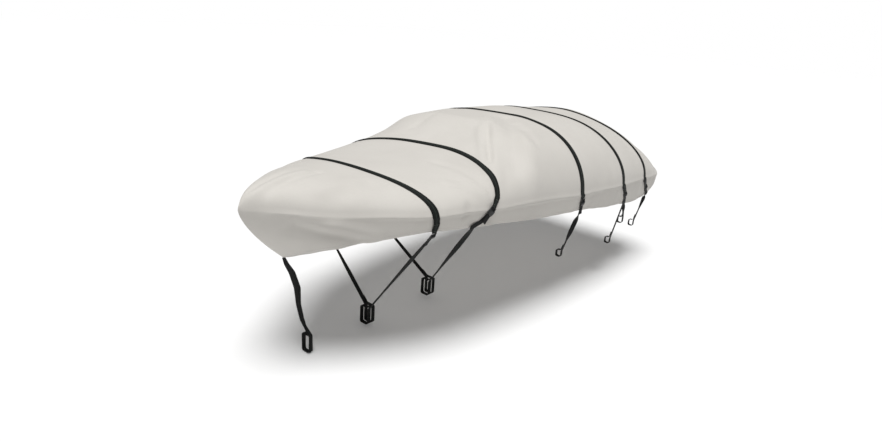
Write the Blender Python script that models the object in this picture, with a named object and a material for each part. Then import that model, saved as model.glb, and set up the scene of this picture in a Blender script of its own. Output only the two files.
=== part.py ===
"""Fitted boat cover: one draped cloth with its cross straps, buckles and tie-down tails.

All sizes are in metres. While the shape is worked out, x runs aft from the bow tip, y to starboard
and z up from the bow tip. Every piece is then shifted so that the origin lies just under the middle
of the top, where the cloth is held up.

The cloth is read through two numbers. x is the place along the boat, and g is the place across it:
-2 at the port hem, -1 at the port crease, 0 at the crown, 1 and 2 at the starboard crease and hem.
"""
import math
from typing import NamedTuple

import bmesh
import bpy
import numpy as np
from mathutils import Matrix, Vector
from mathutils.bvhtree import BVHTree

# Driving dimensions
LENGTH = 4.547          # bow tip to stern corner, along the crease
CLOTH_THICK = 0.002
STRAP_WIDTH = 0.048
TAIL_WIDTH = 0.038
WEBBING_THICK = 0.002
SEAT_GAP = 0.0005       # between a strap and the cloth that it lies on
LAID_GAP = 0.0012       # the same on the skirt, where a strap doesn't follow the grid
END_GAP = 0.0003        # between a webbing's end and its buckle
ORIGIN_X = 2.27

SHARP_ANGLE = math.radians(40)
RAY_REACH = 0.080       # how far from the plain cloth its folds are looked for
NUDGE = 0.004           # step along the cloth that its slope is read over
STEM_CURVE = 1.45       # how the rake grows from the crease to the hem: 1 is a straight stem

# Where the cloth's height is read under a webbing: along it and across it, in shares
HALFWAY = (0.0, 0.17, 0.34, 0.51)
ACROSS = (-0.55, -0.28, 0.0, 0.28, 0.55)

# Mesh density
CELLS_ACROSS = 26       # from crease to crease
SKIRT_ROWS = 5          # from crease to hem
STATION_STEP = 0.085

# How deep a strap presses into the cloth, and how far to each side the dip reaches
PRESS_DEPTH = 0.004
PRESS_REACH = 0.070
CREASE_OUT = 0.006      # how far the cloth stands out along its crease

# Buckle, along its length, across the webbing and out from the cloth
BUCKLE_LENGTH = 0.070
BUCKLE_WIDTH = 0.052
BUCKLE_HEIGHT = 0.013
BUCKLE_EDGE = 0.0012
FREE_END_LENGTH = 0.075
FREE_END_FOLD = 0.0055  # thickness of the folded-over tip
FREE_END_CURL = 0.010   # how far the tip stands out
FREE_END_SHARES = (0.0, 0.35, 0.70, 0.84, 0.86, 1.0)
BUCKLE_PROFILE = (      # shares of the length and the height
    (0.00, 0.00), (1.00, 0.00), (1.00, 0.48), (0.86, 0.52), (0.80, 0.84),
    (0.64, 1.00), (0.42, 0.96), (0.30, 0.56), (0.14, 0.44), (0.00, 0.34),
)

# Loops at the tails' ends: half the width and height to the middle of the webbing
TALL_LOOP = (0.042, 0.075)
SMALL_LOOP = (0.025, 0.032)
LOOP_CORNER = 0.012
LOOP_ARC = 30           # degrees to each side of a corner, where the webbing bends
LAP_LENGTH = 0.070
LAP_OFFSET = 0.0045      # of a free end from the tail below it
LAP_ASIDE = 0.0075       # of a loop's lap from its own leg
LAP_SHARE = 0.25        # the longest lap, as a share of its leg
LAP_RISE = 0.0085       # of a lap's lower end above its loop
RUN_SHARES = (0.08, 0.28, 0.52, 0.73)
LIP_OUT = 0.004         # how far out of the hem a hanging buckle starts
LIP_DROP = 0.06         # how far below the hem, as a share of the skirt, a tail bends inwards


class Section(NamedTuple):
    """One cross-section of the cover."""

    x: float          # where it meets the crease
    beam: float       # half the width at the crease
    crease: float     # height of the crease
    crown: float      # height of the middle
    flat: float       # how flat the middle is: 2 is round, higher is flatter
    upright: float    # how steeply the shoulder falls: 2 is upright at the crease
    rake: float       # how far aft of the crease the hem lies
    hem_half: float   # half the width at the hem
    hem: float        # height of the hem


SECTIONS = (
    #       x      beam   crease  crown  flat  upright rake   hem_half hem
    Section(0.000, 0.000, -0.016, -0.001, 2.40, 2.30, 0.328, 0.000, -0.424),
    Section(0.050, 0.050, -0.020, 0.070, 2.40, 2.30, 0.295, 0.060, -0.405),
    Section(0.120, 0.120, -0.025, 0.103, 2.35, 2.30, 0.250, 0.130, -0.377),
    Section(0.250, 0.232, -0.035, 0.137, 2.30, 2.30, 0.160, 0.225, -0.340),
    Section(0.450, 0.385, -0.058, 0.159, 2.25, 2.25, 0.080, 0.400, -0.278),
    Section(0.700, 0.555, -0.066, 0.156, 2.20, 2.15, 0.030, 0.525, -0.243),
    Section(1.050, 0.727, -0.092, 0.147, 2.35, 2.05, 0.000, 0.705, -0.205),
    Section(1.350, 0.799, -0.100, 0.155, 2.95, 2.05, 0.000, 0.785, -0.225),
    Section(1.680, 0.848, -0.128, 0.182, 3.55, 2.20, 0.000, 0.830, -0.250),
    Section(1.950, 0.886, -0.137, 0.246, 3.45, 2.20, 0.000, 0.860, -0.282),
    Section(2.250, 0.912, -0.156, 0.357, 3.20, 2.05, 0.000, 0.885, -0.310),
    Section(2.700, 0.945, -0.198, 0.358, 3.15, 1.85, 0.000, 0.920, -0.345),
    Section(3.100, 0.960, -0.217, 0.355, 2.90, 1.82, 0.000, 0.935, -0.395),
    Section(3.450, 0.966, -0.242, 0.320, 2.75, 1.85, 0.000, 0.940, -0.435),
    Section(3.930, 0.954, -0.267, 0.295, 1.65, 2.12, 0.000, 0.930, -0.485),
    Section(4.250, 0.930, -0.290, 0.118, 1.90, 2.15, 0.000, 0.905, -0.485),
    Section(4.547, 0.874, -0.325, -0.118, 2.25, 1.85, -0.007, 0.860, -0.440),
)


class Foot(NamedTuple):
    """One end of a strap, from the crease to its tail's loop."""

    route: tuple      # (x, g, width) of the strap's end; the buckle starts at the last place
    aim: tuple        # (x, g) that the buckle points at, or nothing where it hangs along the tail
    below: tuple      # (x, g) of the places where the tail still lies on the cloth
    anchor: tuple     # middle of the tail's loop, (x, y, z)
    half: tuple       # half the width and height of the loop
    twists: tuple     # turn of the free run, in degrees, from the hem down


class CrossStrap(NamedTuple):
    """One strap across the cover. Its middle line lies at x + bend * t * t - lean * y.

    t runs from -1 at the port crease to 1 at the starboard one, and the sweep draws the starboard
    end aft.
    """

    name: str
    x: float
    lean: float
    bend: float
    sweep: float
    trim: int         # columns of the grid that its port end stops short of the crease
    port: Foot
    starboard: Foot


CROSS_STRAPS = (
    CrossStrap(
        "strap_1", 0.860, 0.107, 0.116, 0.123, 0,
        Foot(((1.052, -1.12, 0.048), (1.063, -1.52, 0.048), (1.059, -1.86, 0.045),
              (1.057, -2.08, 0.044)), (), (),
             (1.105, 0.0, -1.138), TALL_LOOP, (10, 25, 10)),
        Foot(((1.032, 1.12, 0.048), (1.036, 1.50, 0.048), (1.038, 1.86, 0.045),
              (1.040, 2.08, 0.044)), (), (),
             (1.150, 0.0, -1.138), TALL_LOOP, (-20, -30, -25))),
    CrossStrap(
        "strap_2", 1.735, 0.117, -0.216, 0.141, 3,
        Foot(((1.615, -0.977, 0.048), (1.590, -0.989, 0.047), (1.552, -0.9983, 0.044)),
             (1.503, -1.217), ((1.450, -1.667), (1.375, -1.95)),
             (1.835, 0.0, -1.120), TALL_LOOP, (35, 60, 20)),
        Foot(((1.566, 1.15, 0.044),), (1.572, 1.70), ((1.576, 1.94),),
             (1.885, 0.0, -1.120), TALL_LOOP, (-30, -35, -20))),
    CrossStrap(
        "strap_3", 2.713, 0.071, -0.072, 0.0, 0,
        Foot(((2.732, -1.13, 0.048), (2.738, -1.25, 0.044)), (2.748, -1.78), ((2.752, -1.95),),
             (2.765, -0.770, -0.800), SMALL_LOOP, (-12, 70, 45)),
        Foot(((2.580, 1.13, 0.048), (2.586, 1.25, 0.044)), (2.596, 1.78), ((2.600, 1.95),),
             (2.620, 0.770, -0.800), SMALL_LOOP, (-10, -40, -20))),
    CrossStrap(
        "strap_4", 3.359, 0.061, 0.065, 0.0, 0,
        Foot(((3.545, -1.25, 0.048), (3.566, -1.40, 0.044)), (3.626, -1.83), ((3.634, -1.95),),
             (3.640, -0.925, -0.630), SMALL_LOOP, (20, 25, 0)),
        Foot(((3.385, 1.25, 0.048), (3.400, 1.40, 0.044)), (3.440, 1.83), ((3.450, 1.95),),
             (3.455, 0.925, -0.630), SMALL_LOOP, (15, 10, 0))),
    CrossStrap(
        "strap_5", 3.820, 0.198, 0.004, 0.0, 0,
        Foot(((4.085, -1.27, 0.048), (4.118, -1.44, 0.044)), (4.215, -1.92), ((4.205, -1.96),),
             (4.115, -0.850, -0.790), SMALL_LOOP, (50, 25, 0)),
        Foot(((3.660, 1.27, 0.048), (3.680, 1.44, 0.044)), (3.730, 1.92), ((3.735, 1.96),),
             (3.740, 0.850, -0.790), SMALL_LOOP, (-30, -20, 0))),
)


LONG_END_FOOT = CROSS_STRAPS[3].port


class Fold(NamedTuple):
    """One soft ridge (height above zero) or trough (below zero) along a straight line."""

    x1: float
    g1: float
    x2: float
    g2: float
    reach: float      # to each side of the line
    height: float


FOLD_CROSSING = 0.3     # how far past the crown a fold can reach

FOLDS = (
    # Corner of the raised middle, on the port side, and the hollows beside it
    Fold(2.376, -0.121, 1.700, -0.860, 0.130, 0.012),
    Fold(2.600, -0.180, 1.950, -0.840, 0.150, -0.012),
    Fold(2.850, -0.250, 2.120, -0.900, 0.170, 0.008),
    # The same corner on the starboard side
    Fold(2.163, 0.742, 1.678, 0.403, 0.140, 0.010),
    Fold(2.133, 0.432, 1.746, 0.255, 0.110, -0.009),
    Fold(2.560, 0.560, 2.020, 0.930, 0.150, 0.008),
    # Wrinkles that fan out from the bow
    Fold(0.060, -0.700, 0.463, -0.037, 0.070, 0.006),
    Fold(0.110, -0.880, 0.562, -0.172, 0.070, -0.006),
    Fold(0.433, -0.951, 0.744, -0.643, 0.110, -0.007),
    Fold(0.120, 0.600, 0.520, 0.250, 0.090, 0.006),
    Fold(0.480, 0.900, 0.760, 0.520, 0.110, -0.006),
    # Creases towards the lower end of the second strap
    Fold(1.440, -0.420, 1.560, -0.940, 0.090, -0.006),
    Fold(1.283, -0.780, 1.500, -0.960, 0.080, 0.006),
    # Skirt at the bow: a fold that runs down and aft to the hem
    Fold(0.230, -1.300, 0.590, -1.950, 0.110, -0.012),
    Fold(0.340, -1.180, 0.700, -1.700, 0.100, 0.009),
    Fold(0.260, 1.350, 0.640, 1.900, 0.110, -0.010),
    # Skirt beside the first strap, and the dent in front of the second
    Fold(1.105, -1.150, 1.130, -1.950, 0.060, 0.007),
    Fold(1.310, -1.250, 1.390, -1.950, 0.110, -0.012),
    Fold(1.520, 1.250, 1.500, 1.950, 0.090, -0.009),
    # Skirt along the side and at the quarter
    Fold(2.907, -1.350, 2.930, -1.950, 0.110, -0.008),
    Fold(3.250, -1.300, 3.220, -1.950, 0.140, 0.007),
    Fold(3.000, 1.350, 3.040, 1.950, 0.150, -0.009),
    Fold(3.980, 1.300, 4.020, 1.950, 0.130, 0.008),
)

# The bow strap from the front of the hem to its loop: place (x, y, z), width, turn in degrees
BOW_STRAP = (
    ((0.331, 0.000, -0.4236), 0.022, 40),
    ((0.352, -0.004, -0.480), 0.034, 44),
    ((0.392, -0.008, -0.553), 0.046, 46),
    ((0.438, -0.004, -0.685), 0.048, 40),
    ((0.452, 0.003, -0.820), 0.038, 50),
    ((0.481, 0.004, -0.950), 0.032, 30),
    ((0.505, 0.000, -1.020), 0.028, 0),
)
BOW_STRAP_THICK = 0.004
BOW_LOOP_MIDDLE = (0.525, 0.0, -1.160)

# The long free end of the fourth strap: where it crosses the hem, and the middle of its loop
LONG_END_HEM = (3.590, -1.95)
LONG_END_ANCHOR = (3.590, -0.850, -0.855)

COLOURS = {
    "cover": ((0.560, 0.535, 0.500), 0.85, 0.0),
    "strap": ((0.022, 0.034, 0.028), 0.70, 0.0),
    "tail": ((0.014, 0.016, 0.016), 0.72, 0.0),
    "buckle": ((0.012, 0.012, 0.013), 0.42, 0.0),
}


def clear_scene() -> None:
    """Remove whatever the scene holds."""
    for old in list(bpy.data.objects):
        bpy.data.objects.remove(old, do_unlink=True)


def finish_of(kind: str) -> bpy.types.Material:
    """Return the material of one kind of piece."""
    found = bpy.data.materials.get(kind)
    if found:
        return found
    colour, roughness, metallic = COLOURS[kind]
    material = bpy.data.materials.new(kind)
    material.use_nodes = True
    shader = material.node_tree.nodes["Principled BSDF"]
    shader.inputs["Base Color"].default_value = (*colour, 1.0)
    shader.inputs["Roughness"].default_value = roughness
    shader.inputs["Metallic"].default_value = metallic
    return material


# ---------------------------------------------------------------- the cloth as a surface

def smooth_through(x, knots, values):
    """Read a smooth curve through (knots, values) that never overshoots them."""
    step = np.diff(knots)
    slope = np.diff(values) / step
    grade = np.concatenate(([slope[0]], np.zeros(len(knots) - 2), [slope[-1]]))
    for k in range(1, len(knots) - 1):
        if slope[k - 1] * slope[k] > 0:
            near = 2 * step[k] + step[k - 1]
            far = step[k] + 2 * step[k - 1]
            grade[k] = (near + far) / (near / slope[k - 1] + far / slope[k])
    k = np.clip(np.searchsorted(knots, x, side="right") - 1, 0, len(knots) - 2)
    s = np.clip((x - knots[k]) / step[k], 0.0, 1.0)
    rise = values[k + 1] - values[k]
    start = step[k] * grade[k]
    end = step[k] * grade[k + 1]
    return values[k] + s * start + s * s * (3 * rise - 2 * start - end) + s ** 3 * (start + end - 2 * rise)


SECTION_TABLE = np.array(SECTIONS)


def section_at(x):
    """Return the cross-section's sizes at a place along the boat."""
    x = np.clip(x, 0.0, LENGTH)
    columns = [smooth_through(x, SECTION_TABLE[:, 0], SECTION_TABLE[:, k]) for k in range(1, 9)]
    return Section(x, *columns)


def cloth_point(x: float, g: float) -> Vector:
    """Return the plain cloth's place at (x, g), before its folds. Past 2, g runs on below the hem."""
    s = section_at(x)
    side = math.copysign(1.0, g)
    drop = max(abs(g) - 1.0, 0.0)
    if drop > 0:
        half = s.beam + (s.hem_half - s.beam) * drop
        return Vector((x + s.rake * drop ** STEM_CURVE, side * half, s.crease + (s.hem - s.crease) * drop))
    dome = max(1.0 - abs(g) ** s.flat, 0.0) ** (1.0 / s.upright)
    return Vector((x, s.beam * g, s.crease + (s.crown - s.crease) * dome))


def cloth_normal(x: float, g: float) -> Vector:
    """Return the outward direction of the plain cloth at (x, g)."""
    along = cloth_point(x + NUDGE, g) - cloth_point(x - NUDGE, g)
    across = cloth_point(x, g + NUDGE) - cloth_point(x, g - NUDGE)
    return along.cross(across).normalized()


def flat_place(x: float, g: float) -> Vector:
    """Return (x, g) as a place in metres on the cloth rolled out flat."""
    s = section_at(x)
    on_top = s.beam * max(-1.0, min(1.0, g))
    down_skirt = max(abs(g) - 1.0, 0.0) * (s.crease - s.hem)
    return Vector((x, on_top + math.copysign(down_skirt, g)))


def fold_lift(x: float, g: float) -> float:
    """Return how far the folds lift the cloth at (x, g)."""
    here = flat_place(x, g)
    lift = 0.0
    for fold in FOLDS:
        if fold.g1 * g < 0 and abs(g) > FOLD_CROSSING:
            continue
        start = flat_place(fold.x1, fold.g1)
        run = flat_place(fold.x2, fold.g2) - start
        part = (here - start).dot(run) / run.length_squared
        aside = (here - start - run * min(max(part, 0.0), 1.0)).length / fold.reach
        if aside < 1.0:
            lift += fold.height * (1.0 - aside * aside) ** 2
    return lift


def press_lift(u: float) -> float:
    """Return how far the cross straps press the cloth in on the grid line u."""
    nearest = min(abs(u - strap.x) for strap in CROSS_STRAPS)
    return -PRESS_DEPTH * max(0.0, 1.0 - (nearest / PRESS_REACH) ** 2)


# ---------------------------------------------------------------- the grid on the cloth

def station_lines() -> list:
    """Return the grid lines along the boat: both edges of each strap, and steps between them."""
    half = STRAP_WIDTH / 2
    fixed = list(STEM_STEPS)
    for strap in CROSS_STRAPS:
        fixed += [strap.x - half, strap.x + half]
    fixed.append(LENGTH)
    lines = [fixed[0]]
    for start, end in zip(fixed, fixed[1:]):
        steps = max(1, round((end - start) / STATION_STEP))
        lines += [start + (end - start) * k / steps for k in range(1, steps + 1)]
    return lines


def grid_columns() -> list:
    """Return the values of g, closer together towards the creases."""
    skirt = [-2.0 + k / SKIRT_ROWS for k in range(SKIRT_ROWS)]
    top = [math.sin(math.pi * (k / CELLS_ACROSS - 0.5)) for k in range(CELLS_ACROSS + 1)]
    return skirt + top + [-g for g in reversed(skirt)]


LEAN_KNOTS = np.array([0.0] + [strap.x for strap in CROSS_STRAPS] + [LENGTH])
LEANS = np.array([0.0] + [strap.lean for strap in CROSS_STRAPS] + [0.0])
BENDS = np.array([0.0] + [strap.bend for strap in CROSS_STRAPS] + [0.0])
SWEEPS = np.array([0.0] + [strap.sweep for strap in CROSS_STRAPS] + [0.0])
SWEEP_START = 0.4       # the value of t past which the sweep grows
STEM_STEPS = (0.0, 0.035, 0.08, 0.135, 0.20, 0.275)


def line_x(u: float, g: float) -> float:
    """Return x on the grid line u, which leans and bends as the straps do."""
    t = max(-1.0, min(1.0, g))
    lean = smooth_through(u, LEAN_KNOTS, LEANS)
    bend = smooth_through(u, LEAN_KNOTS, BENDS)
    sweep = smooth_through(u, LEAN_KNOTS, SWEEPS)
    past = max(t - SWEEP_START, 0.0) / (1.0 - SWEEP_START)
    return float(u - lean * section_at(u).beam * t + bend * t * t + sweep * past * past)


def quad_pair(bm, a, b, c, d) -> None:
    """Add the four-sided face as two triangles split from a to c, leaving out what has no area."""
    for corners in ((a, b, c), (a, c, d)):
        if len(set(corners)) == 3:
            bm.faces.new(corners)


def cloth_sheet() -> tuple:
    """Build the cover's outer face, folds included.

    Returns the open mesh and its vertices by grid place [line][column].
    """
    bm = bmesh.new()
    lines = station_lines()
    columns = grid_columns()
    first_top = SKIRT_ROWS
    last_top = SKIRT_ROWS + CELLS_ACROSS
    grid = []
    stem = [bm.verts.new(cloth_point(0.0, -1.0 - k / SKIRT_ROWS)) for k in range(SKIRT_ROWS + 1)]
    grid.append([stem[abs(min(max(j, first_top), last_top) - j)] for j in range(len(columns))])
    for u in lines[1:]:
        grid.append([bm.verts.new(cloth_point(line_x(u, g), g)) for g in columns])
    for i in range(len(lines) - 1):
        for j in range(len(columns) - 1):
            quad_pair(bm, grid[i][j], grid[i + 1][j], grid[i + 1][j + 1], grid[i][j + 1])
    add_transom(bm, grid[-1], columns)
    bm.normal_update()
    normals = {vert: vert.normal.copy() for vert in bm.verts}
    for u, row in zip(lines[1:-1], grid[1:-1]):
        for g, vert in zip(columns, row):
            crease = CREASE_OUT if abs(g) == 1.0 and u >= STEM_STEPS[-1] else 0.0
            vert.co += normals[vert] * (fold_lift(line_x(u, g), g) + press_lift(u) + crease)
    bm.normal_update()
    return bm, grid


def add_transom(bm, last_line, columns) -> None:
    """Close the stern: rows from the last line of the top down to the transom's hem."""
    first = SKIRT_ROWS
    last = SKIRT_ROWS + CELLS_ACROSS
    stern = section_at(LENGTH)
    above = last_line[first:last + 1]
    tops = [vert.co.copy() for vert in above]
    for k in range(1, SKIRT_ROWS + 1):
        drop = k / SKIRT_ROWS
        row = [last_line[first - k]]
        for j in range(1, CELLS_ACROSS):
            t = columns[first + j]
            hem = Vector((LENGTH + stern.rake, stern.hem_half * t, stern.hem))
            row.append(bm.verts.new(tops[j].lerp(hem, drop)))
        row.append(last_line[last + k])
        for j in range(CELLS_ACROSS):
            quad_pair(bm, above[j], row[j], row[j + 1], above[j + 1])
        above = row


# ---------------------------------------------------------------- making objects

def to_row_frame(bm) -> None:
    """Shift the mesh so that the origin lies just under the middle of the top."""
    crown = section_at(ORIGIN_X).crown
    bmesh.ops.translate(bm, verts=bm.verts, vec=Vector((-ORIGIN_X, 0.0, -(crown - CLOTH_THICK))))


def add_object(name: str, bm, kind: str) -> bpy.types.Object:
    """Turn the mesh into a named object with its material."""
    to_row_frame(bm)
    mesh = bpy.data.meshes.new(name)
    bm.to_mesh(mesh)
    bm.free()
    mesh.materials.append(finish_of(kind))
    mesh.shade_smooth()
    mesh.set_sharp_from_angle(angle=SHARP_ANGLE)
    piece = bpy.data.objects.new(name, mesh)
    bpy.context.scene.collection.objects.link(piece)
    return piece


def build_cover(bm) -> None:
    """Give the draped sheet its thickness, on the inside."""
    cover = add_object("cover", bm, "cover")
    wall = cover.modifiers.new("cloth", "SOLIDIFY")
    wall.thickness = CLOTH_THICK
    wall.offset = -1.0
    wall.use_even_offset = True
    wall.use_rim = True


class Frame(NamedTuple):
    """A place in the middle of a webbing, with unit vectors along it, across it and out."""

    middle: Vector
    along: Vector
    across: Vector
    out: Vector

    def moved(self, along: float = 0.0, out: float = 0.0) -> "Frame":
        """Return the frame shifted along and out."""
        return self._replace(middle=self.middle + self.along * along + self.out * out)


def band(rows: list) -> bmesh.types.BMesh:
    """Build a webbing from rows of (left, right, wall at the left, wall at the right)."""
    bm = bmesh.new()
    rings = []
    for left, right, wall_left, wall_right in rows:
        rings.append([bm.verts.new(p) for p in (left, right, right + wall_right, left + wall_left)])
    for ring, after in zip(rings, rings[1:]):
        for k in (0, 1, 3):
            quad_pair(bm, ring[k], ring[(k + 1) % 4], after[(k + 1) % 4], after[k])
        # The outer layer is split the same way as the inner one, so that a turned webbing stays even
        quad_pair(bm, ring[3], after[3], after[2], ring[2])
    bm.faces.new(rings[0])
    bm.faces.new(rings[-1])
    bmesh.ops.recalc_face_normals(bm, faces=bm.faces)
    return bm


def band_rows(frames: list, widths: list, thicks: list) -> list:
    """Return the rows of a webbing whose middle layer passes through the frames."""
    rows = []
    for frame, width, thick in zip(frames, widths, thicks):
        half = frame.across * (width / 2)
        inner = frame.middle - frame.out * (thick / 2)
        wall = frame.out * thick
        rows.append((inner - half, inner + half, wall, wall))
    return rows


def webbing(name: str, frames: list, widths: list, thick: float, kind: str) -> None:
    """Add a webbing of one thickness through the frames."""
    add_object(name, band(band_rows(frames, widths, [thick] * len(frames))), kind)


def free_frame(middle: Vector, along: Vector, turn: float, side: float) -> Frame:
    """Return the frame of a webbing in the air, turned by some degrees about its own direction."""
    along = along.normalized()
    across = (Vector((1, 0, 0)) - along * along.x).normalized()
    across = Matrix.Rotation(math.radians(turn), 3, along) @ across
    return Frame(middle, along, across, across.cross(along) * side)


def free_frames(places: list, turns: list, side: float) -> list:
    """Return a frame at each place along a webbing in the air."""
    frames = []
    for k, place in enumerate(places):
        before = places[max(k - 1, 0)]
        after = places[min(k + 1, len(places) - 1)]
        frames.append(free_frame(place, after - before, turns[k], side))
    return frames


def cloth_height(cloth: BVHTree, place: Vector, out: Vector) -> float:
    """Return how far the draped cloth stands out past a place, or far below it where there is none."""
    hit = cloth.ray_cast(place + out * RAY_REACH, -out, 2 * RAY_REACH)
    return RAY_REACH - hit[3] if hit[0] else -RAY_REACH


def laid_frames(cloth: BVHTree, spots: list, widths: list, side: float) -> list:
    """Lay a webbing on the draped cloth through spots (x, g), and return its frames.

    Each frame is lifted until the webbing clears every rise of the cloth halfway to its neighbours.
    """
    places = [cloth_point(x, g) for x, g in spots]
    frames = []
    for k, (x, g) in enumerate(spots):
        before = places[max(k - 1, 0)]
        after = places[min(k + 1, len(places) - 1)]
        along = (after - before).normalized()
        out = cloth_normal(x, g)
        out = (out - along * out.dot(along)).normalized()
        across = out.cross(along) * -side
        lift = -RAY_REACH
        for other in (before, after):
            for share in HALFWAY:
                for part in ACROSS:
                    spot = places[k].lerp(other, share) + across * (part * widths[k])
                    lift = max(lift, cloth_height(cloth, spot, out))
        frames.append(Frame(places[k] + out * (max(lift, 0.0) + LAID_GAP + WEBBING_THICK / 2),
                            along, across, out))
    return frames


def clear_frame(cloth: BVHTree, frame: Frame) -> Frame:
    """Return a buckle's top frame, moved out until the whole buckle clears the draped cloth."""
    lift = 0.0
    for along in np.linspace(0.0, BUCKLE_LENGTH, 11):
        for part in ACROSS:
            spot = frame.moved(along).middle + frame.across * (part * BUCKLE_WIDTH)
            height = cloth_height(cloth, spot, frame.out)
            lift = max(lift, height + LAID_GAP + WEBBING_THICK / 2)
    return frame.moved(0.0, lift)


def foot_frames(cloth: BVHTree, foot: Foot, side: float) -> list:
    """Return the frames of a strap's end. The last one is the buckle's top, turned its way."""
    spots = [(x, g) for x, g, _ in foot.route]
    widths = [width for _, _, width in foot.route]
    if foot.aim:
        frames = laid_frames(cloth, spots + [foot.aim], widths + [BUCKLE_WIDTH], side)
        last = frames[-2]
        along = (frames[-1].middle - last.middle).normalized()
        out = (last.out - along * last.out.dot(along)).normalized()
        frames[-2:] = [clear_frame(cloth, Frame(last.middle, along, out.cross(along) * -side, out))]
        return frames
    frames = laid_frames(cloth, spots, widths, side)
    lip = frames[-1].moved(0.0, LIP_OUT).middle
    loop, _ = loop_places(foot, lip, side)
    return frames[:-1] + [free_frame(lip, loop[0] - lip, 0.0, side)]


def cross_strap(strap: CrossStrap, cloth: BVHTree, grid: list, lines: list) -> tuple:
    """Build one cross strap and return the frames at its port and starboard ends."""
    left = min(range(len(lines)), key=lambda i: abs(lines[i] - (strap.x - STRAP_WIDTH / 2)))
    rows = []
    for j in range(SKIRT_ROWS + strap.trim, SKIRT_ROWS + CELLS_ACROSS + 1):
        pair = grid[left][j], grid[left + 1][j]
        inner = [vert.co + vert.normal * SEAT_GAP for vert in pair]
        wall = [vert.normal * WEBBING_THICK for vert in pair]
        rows.append((*inner, *wall))
    ends = []
    for foot, side in ((strap.port, -1.0), (strap.starboard, 1.0)):
        frames = foot_frames(cloth, foot, side)
        widths = [width for _, _, width in foot.route]
        extra = band_rows(frames, widths, [WEBBING_THICK] * len(frames))
        rows = extra[::-1] + rows if side < 0 else rows + extra
        ends.append(frames[-1])
    add_object(strap.name, band(rows), "strap")
    return tuple(ends)


def buckle(name: str, top: Frame) -> Frame:
    """Build a cam buckle that starts at a strap's end, and return the frame at its lower end."""
    start = top.moved(END_GAP, -WEBBING_THICK / 2)
    bm = bmesh.new()
    sides = []
    for half in (-BUCKLE_WIDTH / 2, BUCKLE_WIDTH / 2):
        sides.append([bm.verts.new(start.moved(s * BUCKLE_LENGTH, h * BUCKLE_HEIGHT).middle
                                   + start.across * half) for s, h in BUCKLE_PROFILE])
    for k in range(len(BUCKLE_PROFILE)):
        after = (k + 1) % len(BUCKLE_PROFILE)
        bm.faces.new((sides[0][k], sides[0][after], sides[1][after], sides[1][k]))
    bm.faces.new(sides[0])
    bm.faces.new(sides[1])
    bmesh.ops.recalc_face_normals(bm, faces=bm.faces)
    piece = add_object(name, bm, "buckle")
    edge = piece.modifiers.new("edges", "BEVEL")
    edge.width = BUCKLE_EDGE
    edge.segments = 1
    edge.limit_method = "ANGLE"
    return top.moved(BUCKLE_LENGTH + 2 * END_GAP)


def free_end(name: str, start: Frame) -> None:
    """Build the short loose end that stands out of a buckle, with its tip folded over."""
    frames = []
    for share in FREE_END_SHARES:
        frame = start.moved(share * FREE_END_LENGTH, LAP_OFFSET + FREE_END_CURL * share * share)
        tilt = Matrix.Rotation(math.atan(2 * FREE_END_CURL * share / FREE_END_LENGTH), 3,
                               frame.along.cross(frame.out))
        frames.append(frame._replace(along=tilt @ frame.along, out=tilt @ frame.out))
    thicks = [WEBBING_THICK] * (len(frames) - 2) + [FREE_END_FOLD] * 2
    add_object(name, band(band_rows(frames, [TAIL_WIDTH] * len(frames), thicks)), "tail")


def loop_places(foot, leg_start: Vector, side: float) -> tuple:
    """Return a tail's loop and its lap back up the leg.

    The loop goes down on the near side, under, up on the far side and over the top.
    """
    middle = Vector(foot.anchor)
    wide, high = foot.half
    places = []
    for k, (across, up) in enumerate(((side, 1), (side, -1), (-side, -1), (-side, 1))):
        centre = middle + Vector((0, across * (wide - LOOP_CORNER), up * (high - LOOP_CORNER)))
        for turn in ((-LOOP_ARC, LOOP_ARC) if k else (LOOP_ARC,)):
            angle = math.atan2(up, across) - side * math.radians(turn)
            places.append(centre + Vector((0, math.cos(angle), math.sin(angle))) * LOOP_CORNER)
    leg = leg_start - places[0]
    length = min(LAP_LENGTH, LAP_SHARE * leg.length)
    leg.normalize()
    inward = Vector((0, -side, 0))
    aside = (inward - leg * inward.dot(leg)).normalized() * LAP_ASIDE
    lap = [places[0] + aside + leg * rise for rise in (LAP_RISE, (LAP_RISE + length) / 2, length)]
    return places, lap


def tied_tail(name: str, foot, laid: list, side: float) -> None:
    """Build a tail from its frames on the cloth: straight to its loop, round and back."""
    lip = laid[-1].middle
    loop, lap = loop_places(foot, lip, side)
    run = [lip.lerp(loop[0], share) for share in RUN_SHARES]
    turns = list(foot.twists) + [0.0] * (1 + len(loop) + len(lap))
    frames = laid + free_frames(run + loop + lap, turns, side)
    webbing(name, frames, [TAIL_WIDTH] * len(frames), WEBBING_THICK, "tail")


def tail(name: str, cloth: BVHTree, foot: Foot, start: Frame, side: float) -> None:
    """Build one buckle's tail: over the hem, then down to its loop."""
    laid = [start]
    if foot.below:
        spots = [*foot.below, (foot.below[-1][0], side * (2 + LIP_DROP))]
        laid += laid_frames(cloth, spots, [TAIL_WIDTH] * len(spots), side)
    tied_tail(name, foot, laid, side)


class Anchor(NamedTuple):
    """The middle and half sizes of a loop, and the webbing's turns on its way there."""

    anchor: tuple
    half: tuple
    twists: tuple


def long_end(cloth: BVHTree, start: Frame) -> None:
    """Build the long free end of the fourth strap, from its port buckle to a loop of its own."""
    x, g = LONG_END_HEM
    spots = [(x, g), (x, -2 - LIP_DROP)]
    laid = laid_frames(cloth, spots, [TAIL_WIDTH] * 2, -1.0)
    laid = [start.moved(0.0, LAP_OFFSET)] + [frame.moved(0.0, LAP_OFFSET) for frame in laid]
    tied_tail("tail_4_port_long", Anchor(LONG_END_ANCHOR, SMALL_LOOP, (0, 0, 0)), laid, -1.0)


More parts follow.
